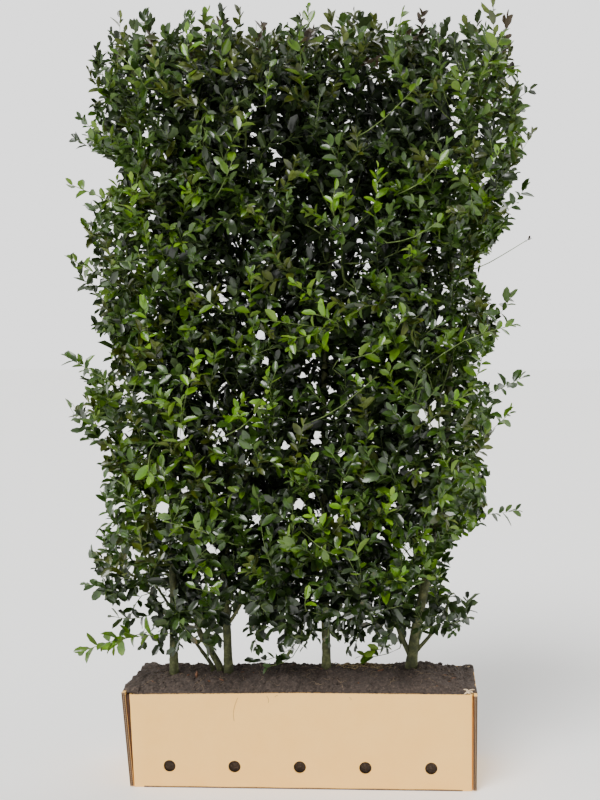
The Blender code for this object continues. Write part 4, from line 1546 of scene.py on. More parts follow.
@dataclass
class LeafSprays:
    """Turns twigs into leaf meshes: each leaf a closed blade of two sheets, folded and curved."""

    crown: Crown
    length: float = 0.0435
    width: float = 0.0220
    thickness: float = 0.0005
    least: tuple[float, float, float] = (-0.700, -0.2495, 0.0)
    most: tuple[float, float, float] = (0.679, 0.2510, 2.262)
    above_soil: float = 0.010

    # By a leaf's order from its twig's tip: the angle at which it spreads, and how far it has grown
    SPREADS = ((0, 1, 4, 12), (16, 34, 54, 66))
    GROWN = ((0, 1, 3), (0.60, 0.80, 1.0))

    # A leaf's rows: share of its length, and half of its width as a share of the whole
    ROWS = ((0.15, 0.29), (0.50, 0.51), (0.84, 0.33))
    HEART_ROWS = ((0.24, 0.42), (0.74, 0.45))

    def template(self, outline: tuple) -> tuple[Array, Array, Array, Array, Array]:
        """One leaf's points and faces.

        Args:
            outline: its rows.

        Returns:
            Along, across and down for each point, the faces, and the material slot of each face.
        """
        rows = [1 + 4 * i for i in range(len(outline))]
        last = 1 + 4 * len(rows)
        points = [(0.0, 0.0, 0.0)]
        for share, half in outline:
            points += [(share, -half, 0), (share, half, 0), (share, 0, 0), (share, 0, 1)]
        along, across, down = np.array([*points, (1.0, 0.0, 0.0)]).T
        faces, slots = [], []
        for sheet in Sheet:
            middle = sheet.value
            for edge in (0, 1):
                strip = [(0, rows[0] + edge, rows[0] + middle)]
                for near, far in zip(rows, rows[1:]):
                    strip += [(near + middle, near + edge, far + edge),
                              (near + middle, far + edge, far + middle)]
                strip.append((rows[-1] + middle, rows[-1] + edge, last))
                turned = (edge == 0) == (sheet is Sheet.UPPER)
                faces += strip if turned else [face[::-1] for face in strip]
                slots += [int(sheet is Sheet.UNDER)] * len(strip)
        return along, across, down, np.array(faces), np.array(slots)

    def place(self, twigs: list[Twig], rng: Draws) -> dict[str, Array]:
        """Places the leaves along the twigs.

        Args:
            twigs: the twigs of one tint.
            rng: the seeded source of the draws.

        Returns:
            Arrays of bases, headings, faces' directions and sizes.
        """
        placed = {"base": [], "heading": [], "normal": [], "size": []}
        for twig in twigs:
            run = np.linalg.norm(np.diff(twig.way, axis=0), axis=1).sum()
            leafy = min(run, twig.leafy)
            count = max(4, int(leafy / twig.spacing))
            order = np.arange(count)
            share = 1 - (order / count) ** 1.1 * leafy / run
            at = np.linspace(0, 1, len(twig.way))
            base, along, side = (
                np.stack([np.interp(share, at, line[:, k]) for k in range(3)], axis=1)
                for line in (twig.way, *frames_along(twig.way)[:2])
            )
            along, side = unit(along), unit(side)
            turn = (twig.phase + order * GOLDEN_ANGLE)[:, None]
            side = side * np.cos(turn) + np.cross(along, side) * np.sin(turn)
            spread = np.radians(np.interp(order, *self.SPREADS)) * twig.spread_scale
            spread = (spread + rng.normal(0, 0.16, count))[:, None]
            heading = unit(along * np.cos(spread) + side * np.sin(spread))
            outward = np.zeros((count, 3))
            outward[:, 1] = np.sign(base[:, 1] + heading[:, 1] * 0.05)
            outward[:, 1] *= rng.uniform(-0.1, 1.05, count)
            normal = unit(outward + (0, 0, 0.75) + rng.normal(0, 0.50, (count, 3))) + along * 0.35
            normal = unit(normal - heading * (normal * heading).sum(1, keepdims=True))
            grown = np.interp(order, *self.GROWN) * twig.leaf_scale
            size = grown * (0.54 + 0.62 * rng.beta(1.6, 1.7, count))
            for values, found in zip(placed.values(), (base, heading, normal, size)):
                values.append(found)
        return {name: np.concatenate(values) for name, values in placed.items()}

    def kept(self, placed: dict[str, Array]) -> dict[str, Array]:
        """Leaves out the leaves that would leave the crown, touch a limb or close a gap of sky.

        Args:
            placed: the leaves, as place() gives them.

        Returns:
            The ones that stay.
        """
        base = placed["base"]
        far = base + placed["heading"] * (placed["size"] * self.length)[:, None]
        crown = self.crown
        stray = crown.outline.level(base, 0.004) > 1
        keep = (crown.outline.level(far, 0.014) <= 1) | stray
        middle = (base + far) / 2
        keep &= crown.keepout.distance(middle) > 0.004
        keep &= crown.keepout.distance(far) > 0.002
        keep &= far[:, 2] > GROUND + self.above_soil
        keep &= ~crown.in_sky(far, -0.002) & ~crown.in_sky(middle, 0.001)
        return {name: values[keep] for name, values in placed.items()}

    def blades(self, twigs: list[Twig], rng: Draws) -> tuple[Array, Array, Array]:
        """The leaf blades of a set of twigs.

        Args:
            twigs: the twigs of one tint.
            rng: the seeded source of the draws.

        Returns:
            Points, faces and material slots.
        """
        placed = self.kept(self.place(twigs, rng))
        base, heading, normal, size = placed.values()
        side = np.cross(normal, heading)
        count = len(base)
        outline = self.HEART_ROWS if twigs[0].tint in (SHADE, DARK) else self.ROWS
        along, across, down, faces, slots = self.template(outline)
        fold = rng.uniform(0.18, 0.75, count)[:, None]
        curl = rng.uniform(-0.08, 0.34, count)[:, None]
        broad = rng.uniform(0.86, 1.16, count)[:, None]
        reach = (size * self.length)[:, None] * along[None]
        spread = (size * self.width)[:, None] * across[None] * broad
        rise = np.abs(spread) * fold - (size * self.length)[:, None] * curl * along[None] ** 2
        rise = rise - down[None] * self.thickness
        points = base[:, None, :] + heading[:, None, :] * reach[..., None]
        points = points + side[:, None, :] * spread[..., None]
        points = points + normal[:, None, :] * rise[..., None]
        inside = ((points > self.least) & (points < self.most)).all(axis=(1, 2))
        points = points[inside]
        shifts = (np.arange(len(points)) * len(along))[:, None, None]
        faces = (faces[None] + shifts).reshape(-1, 3)
        return points.reshape(-1, 3), faces, np.tile(slots, len(points))


@dataclass
class Foliage:
    """The twigs and leaves of every mass, joined by row, and leaves by tint as well."""

    crown: Crown
    sharp_angle: float = 65.0

    def build(self) -> None:
        """Grows every mass and adds its pieces."""
        sprays = LeafSprays(self.crown)
        leaf_materials = {
            tint: [finish.upper(), finish.underside()] for tint, finish in LEAF_FINISHES.items()
        }
        twig_material = TWIG_FINISH.material()
        seed, total = self.crown.seed, 0
        for row_number, row in enumerate(Row):
            twigs = []
            for column in range(self.crown.columns):
                rng = np.random.default_rng(seed * 100 + row_number * 10 + column)
                twigs += MassGrower(self.crown, (row, column), rng).grow()
            label = row.name.lower()
            nodes = [f"foliage_{label}_{column + 1}" for column in range(self.crown.columns)]
            mesh = mesh_from_arrays(f"twigs_{label}", *join([twig.stick() for twig in twigs]))
            mesh.shade_smooth()
            add_piece(f"twigs_{label}", mesh, [twig_material], nodes)
            for number, tint in enumerate(Tint):
                chosen = [twig for twig in twigs if twig.tint is tint]
                if not chosen:
                    continue
                rng = np.random.default_rng(seed * 1000 + row_number * 10 + number)
                points, faces, slots = sprays.blades(chosen, rng)
                mesh = mesh_from_arrays(f"leaves_{label}_{tint.value}", points, faces, slots)
                mesh.shade_smooth()
                mesh.set_sharp_from_angle(angle=math.radians(self.sharp_angle))
                add_piece(mesh.name, mesh, leaf_materials[tint], nodes)
                total += len(faces)
        LOG.info("leaf faces in all: %d", total)


# Soil


@dataclass
class Soil:
    """The potting soil: its heaped top, loose crumbs, fine roots and chips."""

    length: float = 0.9608
    depth: float = 0.2888
    bottom: float = 0.006
    rim: float = 0.2635
    shoulder: float = 0.13
    taper: float = 0.004
    cell: float = 0.0041
    crumbs: int = 2000
    roots: int = 110
    straws: int = 110
    chips: int = 26
    seed: int = 3

    # The crest of the heap from left to right
    CREST = (
        (-0.48, 0.284), (-0.20, 0.289), (0.0, 0.297), (0.30, 0.300), (0.365, 0.309), (0.43, 0.295),
        (0.48, 0.285),
    )

    # The radii of crumbs: the usual one, the most, and the most on the front's rim
    CRUMB_SIZES = (0.0021, 0.0050, 0.0019)

    # Where soil has spilled over each end: inner, outer, front and back
    SPILLS = {-1: (0.462, 0.5095, -0.1400, 0.150), 1: (0.462, 0.4995, -0.125, 0.150)}
    SPILL_GRID = (20, 110)
    SPILL_SLOPE = ((0.0, 0.35, 0.8, 1.0), (0.272, 0.2775, 0.2750, 0.2715))
    SPILL_ENDS = ((0.0, 0.05, 0.95, 1.0), (-0.012, 0.0, 0.0, -0.012))

    def height(self, x: Array, y: Array) -> Array:
        """The height of the heaped soil at a place.

        Args:
            x: places across.
            y: places from front to back.

        Returns:
            One height a place.
        """
        inset = np.minimum((self.length / 2 - np.abs(x)) * 3, self.depth / 2 - np.abs(y))
        share = np.clip(inset / self.shoulder, 0, 1)
        crest = np.interp(x, *zip(*self.CREST))
        heap = self.rim + (crest - self.rim) * share * (2 - share)
        places = np.stack((x, y, np.zeros_like(x)), axis=-1).reshape(-1, 3)
        lumps = NOISE.at(places, 0.055, 2).reshape(x.shape) * 0.0045
        clods = np.abs(NOISE.at(places + 7.7, 0.024, 2).reshape(x.shape)) * 0.0075
        grit = NOISE.at(places + 3.1, 0.011, 3, 0.6).reshape(x.shape) * 0.0030
        return heap + lumps + (clods + grit - 0.002) * np.clip(share * 3 + 0.3, 0, 1)

    def build(self) -> None:
        """Makes the soil's body, its crumbs, its roots and its chips."""
        rng = np.random.default_rng(self.seed)
        nx, ny = int(self.length / self.cell), int(self.depth / self.cell)
        xs, ys = np.linspace(-0.5, 0.5, nx) * self.length, np.linspace(-0.5, 0.5, ny) * self.depth
        x, y = np.meshgrid(xs, ys, indexing="ij")
        z = self.height(x, y)
        on_edge = (np.abs(x) > self.length / 2 - 1e-4) | (np.abs(y) > self.depth / 2 - 1e-4)
        z = np.where(on_edge, z - self.taper, z)
        top = np.stack((x, y, z), axis=-1).reshape(-1, 3)
        edge = np.concatenate(
            (np.arange(nx) * ny, (nx - 1) * ny + np.arange(1, ny),
             np.arange(nx - 2, -1, -1) * ny + ny - 1, np.arange(ny - 2, 0, -1))
        )
        low = top[edge] * (1 - 2 * self.taper / self.length, 1 - 2 * self.taper / self.depth, 0)
        low[:, 2] = self.bottom
        below = len(top) + np.arange(len(edge))
        after = np.roll(np.arange(len(edge)), -1)
        walls = np.stack((edge, below, below[after], edge[after]), axis=1)
        points = np.vstack((top, low, [[0, 0, self.bottom]]))
        centre = len(points) - 1
        k = np.arange(0, len(edge) - 1, 2)
        corners = (np.full_like(k, centre), below[after[after[k]]], below[after[k]], below[k])
        faces = np.vstack((grid_faces(nx, ny), walls, np.stack(corners, axis=1)))
        mesh = mesh_from_arrays("soil_heap", points, faces)
        mesh.shade_smooth()
        soil_material = SOIL_FINISH.material()
        add_piece("soil_heap", mesh, [soil_material], ["soil"])
        for side in (-1, 1):
            self.build_spill(side, soil_material)
        self.build_crumbs(rng, soil_material)
        self.build_roots(rng)
        self.build_chips(rng)

    def build_spill(self, side: int, material: Material) -> None:
        """Soil that has spilled over an end wall and its board, as a ragged closed ridge.

        Args:
            side: less than zero for the left end, more for the right.
            material: the soil's finish.
        """
        inner, outer, front, back = self.SPILLS[side]
        across, run = self.SPILL_GRID
        u, v = np.meshgrid(np.linspace(0, 1, across), np.linspace(0, 1, run), indexing="ij")
        x, y = side * (inner + (outer - inner) * u), front + (back - front) * v
        places = np.stack((x, y, np.zeros_like(x)), axis=-1).reshape(-1, 3)
        lumps = NOISE.at(places + 1.9, 0.028, 3, 0.6).reshape(x.shape)
        grit = NOISE.at(places + 8.3, 0.010, 2).reshape(x.shape)
        slope, ends = np.interp(u, *self.SPILL_SLOPE), np.interp(v, *self.SPILL_ENDS)
        z = slope + ends + lumps * 0.0045 + grit * 0.0022
        z[-1], z[:, 0], z[:, -1] = 0.2660, 0.2640, 0.2640
        x = x + side * np.where(u > 0.9, lumps * 0.0016, 0.0)
        top = np.stack((x, y, z), axis=-1).reshape(-1, 3)
        below = top.copy()
        below[:, 2] = 0.2632
        faces, rim = grid_faces(across, run), self.grid_rim(across, run)
        if side < 0:
            faces, rim = faces[:, ::-1], rim[::-1]
        after = np.roll(rim, -1)
        walls = np.stack((rim, after, after + len(top), rim + len(top)), axis=1)
        points = np.vstack((top, below))
        mesh = mesh_from_arrays(
            "soil_spill", points, np.vstack((faces, faces[:, ::-1] + len(top), walls))
        )
        mesh.shade_smooth()
        add_piece(f"soil_spill_{'left' if side < 0 else 'right'}", mesh, [material])

    @staticmethod
    def grid_rim(rows: int, columns: int) -> Array:
        """The numbers of a grid's outer points, in order round it.

        Args:
            rows: how many rows of points.
            columns: how many points a row has.

        Returns:
            The numbers.
        """
        return np.concatenate(
            (np.arange(columns), np.arange(2, rows + 1) * columns - 1,
             rows * columns - 1 - np.arange(1, columns), np.arange(rows - 2, 0, -1) * columns)
        )

    def scatter(self, rng: Draws, count: int, inset: float) -> Array:
        """Seeded places on the soil's surface.

        Args:
            rng: the source of the draws.
            count: how many places.
            inset: what they leave free of the soil's length and depth.

        Returns:
            The places, N by 3.
        """
        x = rng.uniform(-0.5, 0.5, count) * (self.length - inset)
        y = rng.uniform(-0.5, 0.5, count) * (self.depth - inset)
        return np.stack((x, y, self.height(x, y)), axis=1)

    def build_crumbs(self, rng: Draws, material: Material) -> None:
        """Loose crumbs of soil: small lumps half sunk in the surface.

        Args:
            rng: the seeded source of its draws.
            material: the soil's finish.
        """
        bm = bmesh.new()
        bmesh.ops.create_icosphere(bm, subdivisions=1, radius=1.0)
        ball = np.array([tuple(v.co) for v in bm.verts])
        faces = np.array([[v.index for v in f.verts] for f in bm.faces])
        bm.free()
        places = self.scatter(rng, self.crumbs, 0.012)
        x = rng.uniform(-0.47, 0.47, self.crumbs // 8)
        y = rng.uniform(-0.1475, -0.143, len(x))
        places[: len(x)] = np.stack((x, y, 0.2695 - 0.009 * np.clip(-x / 0.48, 0, 1)), axis=1)
        usual, most, most_on_rim = self.CRUMB_SIZES
        sizes = np.minimum(rng.lognormal(math.log(usual), 0.45, self.crumbs), most)
        sizes[: len(x)] = np.minimum(sizes[: len(x)], most_on_rim)
        shapes = rng.uniform(0.6, 1.3, (self.crumbs, len(ball), 3))
        lumps = ball[None] * sizes[:, None, None] * shapes
        points = (lumps + places[:, None, :]).reshape(-1, 3)
        shifts = (np.arange(self.crumbs) * len(ball))[:, None, None]
        mesh = mesh_from_arrays("soil_crumbs", points, (faces[None] + shifts).reshape(-1, 3))
        add_piece("soil_crumbs", mesh, [material])

    def build_roots(self, rng: Draws) -> None:
        """Fine pale roots that lie in the soil's surface, and a patch of dry moss and straw.

        Args:
            rng: the seeded source of its draws.
        """
        parts = []
        for place in self.scatter(rng, self.roots, 0.05):
            heading = rng.uniform(0, FULL_TURN)
            steps = np.cumsum(rng.normal(0, 0.35, 9)) + heading
            step = rng.uniform(0.0025, 0.0060)
            x = place[0] + np.cumsum(np.cos(steps)) * step
            y = place[1] + np.cumsum(np.sin(steps)) * step
            x, y = (
                np.clip(line, -size / 2 + self.taper, size / 2 - self.taper)
                for line, size in ((x, self.length), (y, self.depth))
            )
            way = np.stack((x, y, self.height(x, y) + 0.0006), axis=1)
            parts.append(tube(way, np.full(9, rng.uniform(0.00025, 0.00055)), 4))
        mesh = mesh_from_arrays("soil_roots", *join(parts))
        add_piece("soil_roots", mesh, [ROOT_FINISH.material()])
        parts = []
        for _ in range(self.straws):
            x = rng.normal(0.155, 0.045) + np.linspace(-1, 1, 4) * rng.uniform(0.003, 0.010)
            y = rng.uniform(0.0, 0.055) + np.linspace(-1, 1, 4) * rng.uniform(-0.008, 0.008)
            way = np.stack((x, y, self.height(x, y) + rng.uniform(0.0005, 0.0045)), axis=1)
            parts.append(tube(way, np.full(4, rng.uniform(0.0006, 0.0014)), 4))
        mesh = mesh_from_arrays("soil_straw", *join(parts))
        add_piece("soil_straw", mesh, [STRAW_FINISH.material()])

    def build_chips(self, rng: Draws) -> None:
        """Flat chips of bark in the soil, and a stub of old wood.

        Args:
            rng: the seeded source of its draws.
        """
        parts = []
        for place in self.scatter(rng, self.chips, 0.04):
            turn = rng.uniform(0, FULL_TURN)
            size = rng.uniform(0.004, 0.011)
            heading = np.array([[math.cos(turn), math.sin(turn), 0.15]])
            way = place + heading * np.linspace(-1, 1, 4)[:, None] * size
            way[:, 2] += 0.0012
            parts.append(tube(way, np.array([0.3, 1.0, 0.8, 0.25]) * size * 0.32, 4))
        stub = np.array(((-0.312, -0.055, 0.280), (-0.313, -0.056, 0.292), (-0.311, -0.057, 0.304)))
        parts.append(tube(stub, np.array((0.0035, 0.0042, 0.0022)), 4))
        mesh = mesh_from_arrays("soil_chips", *join(parts))
        add_piece("soil_chips", mesh, [CHIP_FINISH.material()])


# Corrugated board


@dataclass
class Carton:
    """The trough: a folded tray with vents, and thicker boards across its ends."""

    length: float = 0.972
    depth: float = 0.30
    height: float = 0.27
    board: float = 0.005
    liner: float = 0.0008
    corner: float = 0.007
    vents: int = 5
    vent_diameter: float = 0.035
    vent_pitch: float = 0.185
    vent_height: float = 0.062
    flute_pitch: float = 0.0056
    groove: float = 0.007
    bulge: float = 0.0035
    end_board: float = 0.010
    end_height: float = 0.265
    end_raise: float = 0.002
    gap: float = 0.0003
    left_splay: float = 2.6
    right_splay: float = 0.5
    right_gap: float = 0.0016
    left_lean: float = 0.014
    left_droop: float = 0.009
    paper: float = 0.0004
    fold_angle: float = 40.0

    # Where fine roots have dried on the front: across, from and to height, and sway
    HAIRS = (
        (-0.176, 0.255, 0.190, -0.012), (-0.094, 0.262, 0.242, 0.006),
        (-0.062, 0.264, 0.258, -0.008), (0.140, 0.260, 0.252, 0.005),
    )

    def cut(self, obj: Object, meshes: list[Mesh]) -> Mesh:
        """Cuts meshes out of an object.

        Args:
            obj: the object, which is removed.
            meshes: what is cut out.

        Returns:
            What is left of its mesh.
        """
        cutters = []
        for mesh in meshes:
            cutter = bpy.data.objects.new("cutter", mesh)
            bpy.context.scene.collection.objects.link(cutter)
            modifier = obj.modifiers.new("cut", "BOOLEAN")
            modifier.operation = "DIFFERENCE"
            modifier.object = cutter
            cutters.append(cutter)
        bpy.context.view_layer.update()
        graph = bpy.context.evaluated_depsgraph_get()
        left = bpy.data.meshes.new_from_object(obj.evaluated_get(graph))
        for cutter in cutters:
            bpy.data.objects.remove(cutter)
        bpy.data.objects.remove(obj)
        return left

    @staticmethod
    def box(size: tuple, centre: tuple) -> Mesh:
        """A box's mesh.

        Args:
            size: its three sizes.
            centre: its middle.

        Returns:
            The mesh.
        """
        bm = bmesh.new()
        bmesh.ops.create_cube(bm, size=1.0)
        bmesh.ops.scale(bm, vec=size, verts=bm.verts)
        bmesh.ops.translate(bm, vec=centre, verts=bm.verts)
        mesh = bpy.data.meshes.new("box")
        bm.to_mesh(mesh)
        bm.free()
        return mesh

    def tray(self) -> Mesh:
        """The tray: rounded folds, vents in both long walls and an open groove along its rim.

        Returns:
            The mesh.
        """
        body = self.box((self.length, self.depth, self.height), (0, 0, self.height / 2))
        bm = bmesh.new()
        bm.from_mesh(body)
        uprights = [e for e in bm.edges if abs(e.verts[0].co.z - e.verts[1].co.z) > self.height / 2]
        bmesh.ops.bevel(
            bm, geom=uprights, offset=self.corner, segments=4, affect="EDGES", profile=0.5
        )
        bm.to_mesh(body)
        bm.free()
        obj = bpy.data.objects.new("tray", body)
        bpy.context.scene.collection.objects.link(obj)
        inner = (self.length - 2 * self.board, self.depth - 2 * self.board, self.height)
        cutters = [self.box(inner, (0, 0, self.height / 2 + self.board))]
        for i in range(self.vents):
            bm = bmesh.new()
            x = (i - (self.vents - 1) / 2) * self.vent_pitch
            place = Matrix.Translation((x, 0, self.vent_height))
            place = place @ Matrix.Rotation(math.pi / 2, 4, "X")
            bmesh.ops.create_cone(
                bm, cap_ends=True, segments=40, radius1=self.vent_diameter / 2,
                radius2=self.vent_diameter / 2, depth=self.depth * 1.2, matrix=place,
            )
            mesh = bpy.data.meshes.new("vent")
            bm.to_mesh(mesh)
            bm.free()
            cutters.append(mesh)
        width = self.board - 2 * self.liner
        z = self.height - self.groove / 2 + 0.001
        for side in (-1, 1):
            y = side * (self.depth / 2 - self.board / 2)
            run, deep = self.length - 2 * self.corner - 0.002, self.groove + 0.002
            cutters.append(self.box((run, width, deep), (0, y, z)))
            x = side * (self.length / 2 - self.board / 2)
            run = self.depth - 2 * self.corner - 0.002
            cutters.append(self.box((width, run, deep), (x, 0, z)))
        return self.cut(obj, cutters)

    def bow(self, mesh: Mesh) -> None:
        """Lets the long walls swell a little under the soil, as filled board does.

        Args:
            mesh: the tray's mesh, which is changed.
        """
        bm = bmesh.new()
        bm.from_mesh(mesh)
        for axis, span, steps in ((0, self.length, 24), (2, self.height, 8)):
            for i in range(1, steps):
                at = Vector((0, 0, 0))
                at[axis] = (i / steps - (0.5 if axis == 0 else 0.0)) * span + 0.00037
                normal = Vector((0, 0, 0))
                normal[axis] = 1.0
                geometry = [*bm.verts, *bm.edges, *bm.faces]
                bmesh.ops.bisect_plane(bm, geom=geometry, plane_co=at, plane_no=normal)
        for vert in bm.verts:
            vert.co.y += self.swell(vert.co)
        bm.to_mesh(mesh)
        bm.free()

    def settle(self, mesh: Mesh, droops: bool) -> None:
        """Lets the left end narrow towards its foot, as the filled trough does.

        Args:
            mesh: the mesh to change.
            droops: whether its top sinks a little towards the left as well.
        """
        points = np.empty(len(mesh.vertices) * 3)
        mesh.vertices.foreach_get("co", points)
        points = points.reshape(-1, 3)
        upright = np.clip(points[:, 2] / self.height, 0, 1)
        near_end = np.clip((-points[:, 0] - 0.38) / 0.10, 0, 1)
        points[:, 0] += self.left_lean * (1 - upright) * near_end
        if droops:
            points[:, 2] -= self.left_droop * upright * np.clip(-points[:, 0] / 0.48, 0, 1)
        mesh.vertices.foreach_set("co", points.ravel())
        mesh.update()

    def swell(self, place: Vector) -> float:
        """How far a point of a long wall moves out.

        Args:
            place: the point.

        Returns:
            The distance, less than zero towards the front.
        """
        if abs(place.y) < self.depth / 2 - self.board - 0.001:
            return 0.0
        across = math.cos(math.pi * min(1.0, max(-1.0, place.x / self.length))) ** 0.8
        upright = math.sin(math.pi * min(1.0, max(0.0, place.z / self.height)) ** 0.9)
        return math.copysign(self.bulge * across * upright, place.y)

    def wave(
        self, start: Array, along: Array, out: Array, up: Array, length: float, width: float
    ) -> tuple[Array, Array]:
        """A strip of the wavy core paper, seen end on in a cut edge.

        Args:
            start: where the strip begins, in the middle of the groove.
            along: the way that it runs.
            out: across the board.
            up: into the board, along the flutes.
            length: how long the strip is.
            width: how far its waves swing from side to side.

        Returns:
            Points and four-cornered faces.
        """
        count = max(8, int(length / self.flute_pitch * 6))
        t = np.linspace(0, length, count)[:, None]
        turn = t / self.flute_pitch * 2 * math.pi
        middle = start + along * t + out * (np.sin(turn) * (width / 2 - self.paper / 2))
        slope = np.cos(turn) * (width / 2) * 2 * math.pi / self.flute_pitch
        normal, down = unit(out - along * slope) * self.paper, up * self.groove
        corners = [middle + normal, middle - normal, middle - normal + down, middle + normal + down]
        points = np.stack(corners, axis=1).reshape(-1, 3)
        i = np.arange(count - 1)[:, None] * 4
        strips = [(i + k, i + k + 4, i + (k + 1) % 4 + 4, i + (k + 1) % 4) for k in range(4)]
        return points, np.vstack([np.hstack(strip) for strip in strips])

    def rim_core(self) -> tuple[Array, Array]:
        """The core paper along the tray's open rim.

        Returns:
            Points and four-cornered faces.
        """
        width = self.board - 2 * self.liner
        x_axis, y_axis, z_axis = np.eye(3)
        parts = []
        for side in (-1, 1):
            for along, out, length, across in (
                (x_axis, y_axis, self.length, self.depth), (y_axis, x_axis, self.depth, self.length)
            ):
                run = length - 2 * self.corner - 0.004
                start = along * (-run / 2) + out * (side * (across / 2 - self.board / 2))
                start = start + z_axis * (self.height - self.paper)
                parts.append(self.wave(start, along, out, -z_axis, run, width))
        return join(parts)

    def end(
        self, side: int, splay: float, board: Material, core: Material
    ) -> None:
        """One end board: two walls of flutes between three liners, open at its cut edges.

        Args:
            side: less than zero for the left end, more for the right.
            splay: how far it leans out, in radians.
            board: the liner's finish.
            core: the core paper's finish.
        """
        name = "left" if side < 0 else "right"
        middle = self.end_height / 2
        size = (self.end_board, self.depth, self.end_height)
        body = self.box(size, (self.end_board / 2, 0, middle))
        obj = bpy.data.objects.new("end", body)
        bpy.context.scene.collection.objects.link(obj)
        width = self.end_board / 2 - 1.5 * self.liner
        x_axis, y_axis, z_axis = np.eye(3)
        cutters, parts = [], []
        for wall in (0.25, 0.75):
            x = self.end_board * wall
            for end in (-1, 1):
                y = end * (self.depth / 2 - self.groove / 2 + 0.001)
                size = (width, self.groove + 0.002, self.end_height - 0.004)
                cutters.append(self.box(size, (x, y, middle)))
                start = np.array((x, end * (self.depth / 2 - self.paper), 0.003))
                run = self.end_height - 0.006
                parts.append(self.wave(start, z_axis, x_axis, -end * y_axis, run, width))
        mesh = self.cut(obj, cutters)
        turn = Matrix.Rotation(side * splay, 4, "Y")
        mirror = Matrix.Diagonal((side, 1, 1, 1))
        gap = self.gap if side < 0 else self.right_gap
        shift = Matrix.Translation((side * (self.length / 2 + gap), 0, self.end_raise))
        place = shift @ turn @ mirror
        for face in mesh.polygons:
            outer = face.center.x < 0.0002 or face.center.x > self.end_board - 0.0002
            near_edge = abs(face.center.y) > self.depth / 2 - self.groove - 0.0005
            face.material_index = int(near_edge and not outer)
        mesh.transform(place)
        if side < 0:
            mesh.flip_normals()
            self.settle(mesh, False)
        add_piece(
            f"carton_end_{name}_board", mesh, [board, CUT_LINER_FINISH.material()],
            [f"carton_end_{name}"],
        )
        points, faces = join(parts)
        points = points @ np.array(place.to_3x3()).T + np.array(place.translation)
        core_mesh = mesh_from_arrays(f"carton_end_{name}_flutes", points, faces)
        if side < 0:
            self.settle(core_mesh, False)
        add_piece(f"carton_end_{name}_flutes", core_mesh, [core])

    def build(self) -> None:
        """Makes the tray, its rim's core, both end boards, a wedge of painted shade and the small
        marks of use.
        """
        board, core = BOARD_FINISH.material(), RAW_EDGE_FINISH.material()
        mesh = self.tray()
        self.bow(mesh)
        self.settle(mesh, True)
        mesh.shade_smooth()
        mesh.set_sharp_from_angle(angle=math.radians(self.fold_angle))
        add_piece("carton_tray_board", mesh, [board], ["carton_tray"])
        rim_mesh = mesh_from_arrays("carton_tray_flutes", *self.rim_core())
        self.settle(rim_mesh, True)
        add_piece("carton_tray_flutes", rim_mesh, [core])
        self.end(-1, math.radians(self.left_splay), board, core)
        self.end(1, math.radians(self.right_splay), board, core)
        self.fold()
        self.base_edge()
        self.stuck_roots()
        self.torn_paper()

    def fold(self) -> None:
        """A dark wedge of painted shade that fills the open gap between the tray and the left end
        board.
        """
        spread = math.tan(math.radians(self.left_splay)) * self.end_height
        x = -self.length / 2 + 0.002
        half = self.depth / 2 - 0.004
        low, high = 0.004, self.height - 0.012
        corners = [(x, low), (x, high), (x - spread - 0.003, high), (x - 0.003, low)]
        points = np.array([(cx, y, cz) for y in (-half, half) for cx, cz in corners])
        faces = np.array(
            ((0, 1, 2, 3), (7, 6, 5, 4), (0, 4, 5, 1), (1, 5, 6, 2), (2, 6, 7, 3), (3, 7, 4, 0))
        )
        mesh = mesh_from_arrays("carton_painted_shade_wedge", points, faces)
        bm = bmesh.new()
        bm.from_mesh(mesh)
        bmesh.ops.recalc_face_normals(bm, faces=bm.faces)
        bmesh.ops.subdivide_edges(bm, edges=bm.edges, cuts=6, use_grid_fill=True)
        for vert in bm.verts:
            vert.co.y += 0.0012 * math.sin(vert.co.z * 90) * (1 if vert.co.y > 0 else -1)
        bm.to_mesh(mesh)
        bm.free()
        self.settle(mesh, False)
        # Its near-black brown is painted shade for the shadow in the gap at the left end
        add_piece("carton_end_left_fold", mesh, [FOLD_PAINTED_SHADE_FINISH.material()])

    def base_edge(self) -> None:
        """The raw edge of the base flap that shows along the foot of both long walls."""
        for side, name in ((-1, "front"), (1, "back")):
            y = side * (self.depth / 2 + 0.0004)
            mesh = self.box((0.90, 0.0020, 0.0034), (0.008, y, 0.0018))
            bm = bmesh.new()
            bm.from_mesh(mesh)
            long_edges = [edge for edge in bm.edges if edge.calc_length() > 0.5]
            bmesh.ops.subdivide_edges(bm, edges=long_edges, cuts=30)
            for vert in bm.verts:
                vert.co.z += 0.0004 * math.sin(vert.co.x * 37) * (vert.co.z > 0.0018)
            bmesh.ops.bevel(bm, geom=list(bm.edges), offset=0.0003, segments=1, affect="EDGES")
            bm.to_mesh(mesh)
            bm.free()
            finish = RAW_EDGE_FINISH.material()
            add_piece(f"carton_base_edge_{name}", mesh, [finish])

    def stuck_roots(self) -> None:
        """Hair-fine roots that have dried on the front of the board."""
        parts = []
        for x, high, low, sway in self.HAIRS:
            z = np.linspace(high, low, 10)
            across = x + sway * np.sin(np.linspace(0, 2.2, 10))
            front = -self.depth / 2
            y = [self.swell(Vector((cx, front, cz))) + front - 0.0002 for cx, cz in zip(across, z)]
            parts.append(tube(np.stack((across, y, z), axis=1), np.full(10, 0.00042), 4))
        mesh = mesh_from_arrays("carton_stuck_roots", *join(parts))
        add_piece("carton_stuck_roots", mesh, [CHIP_FINISH.material()])

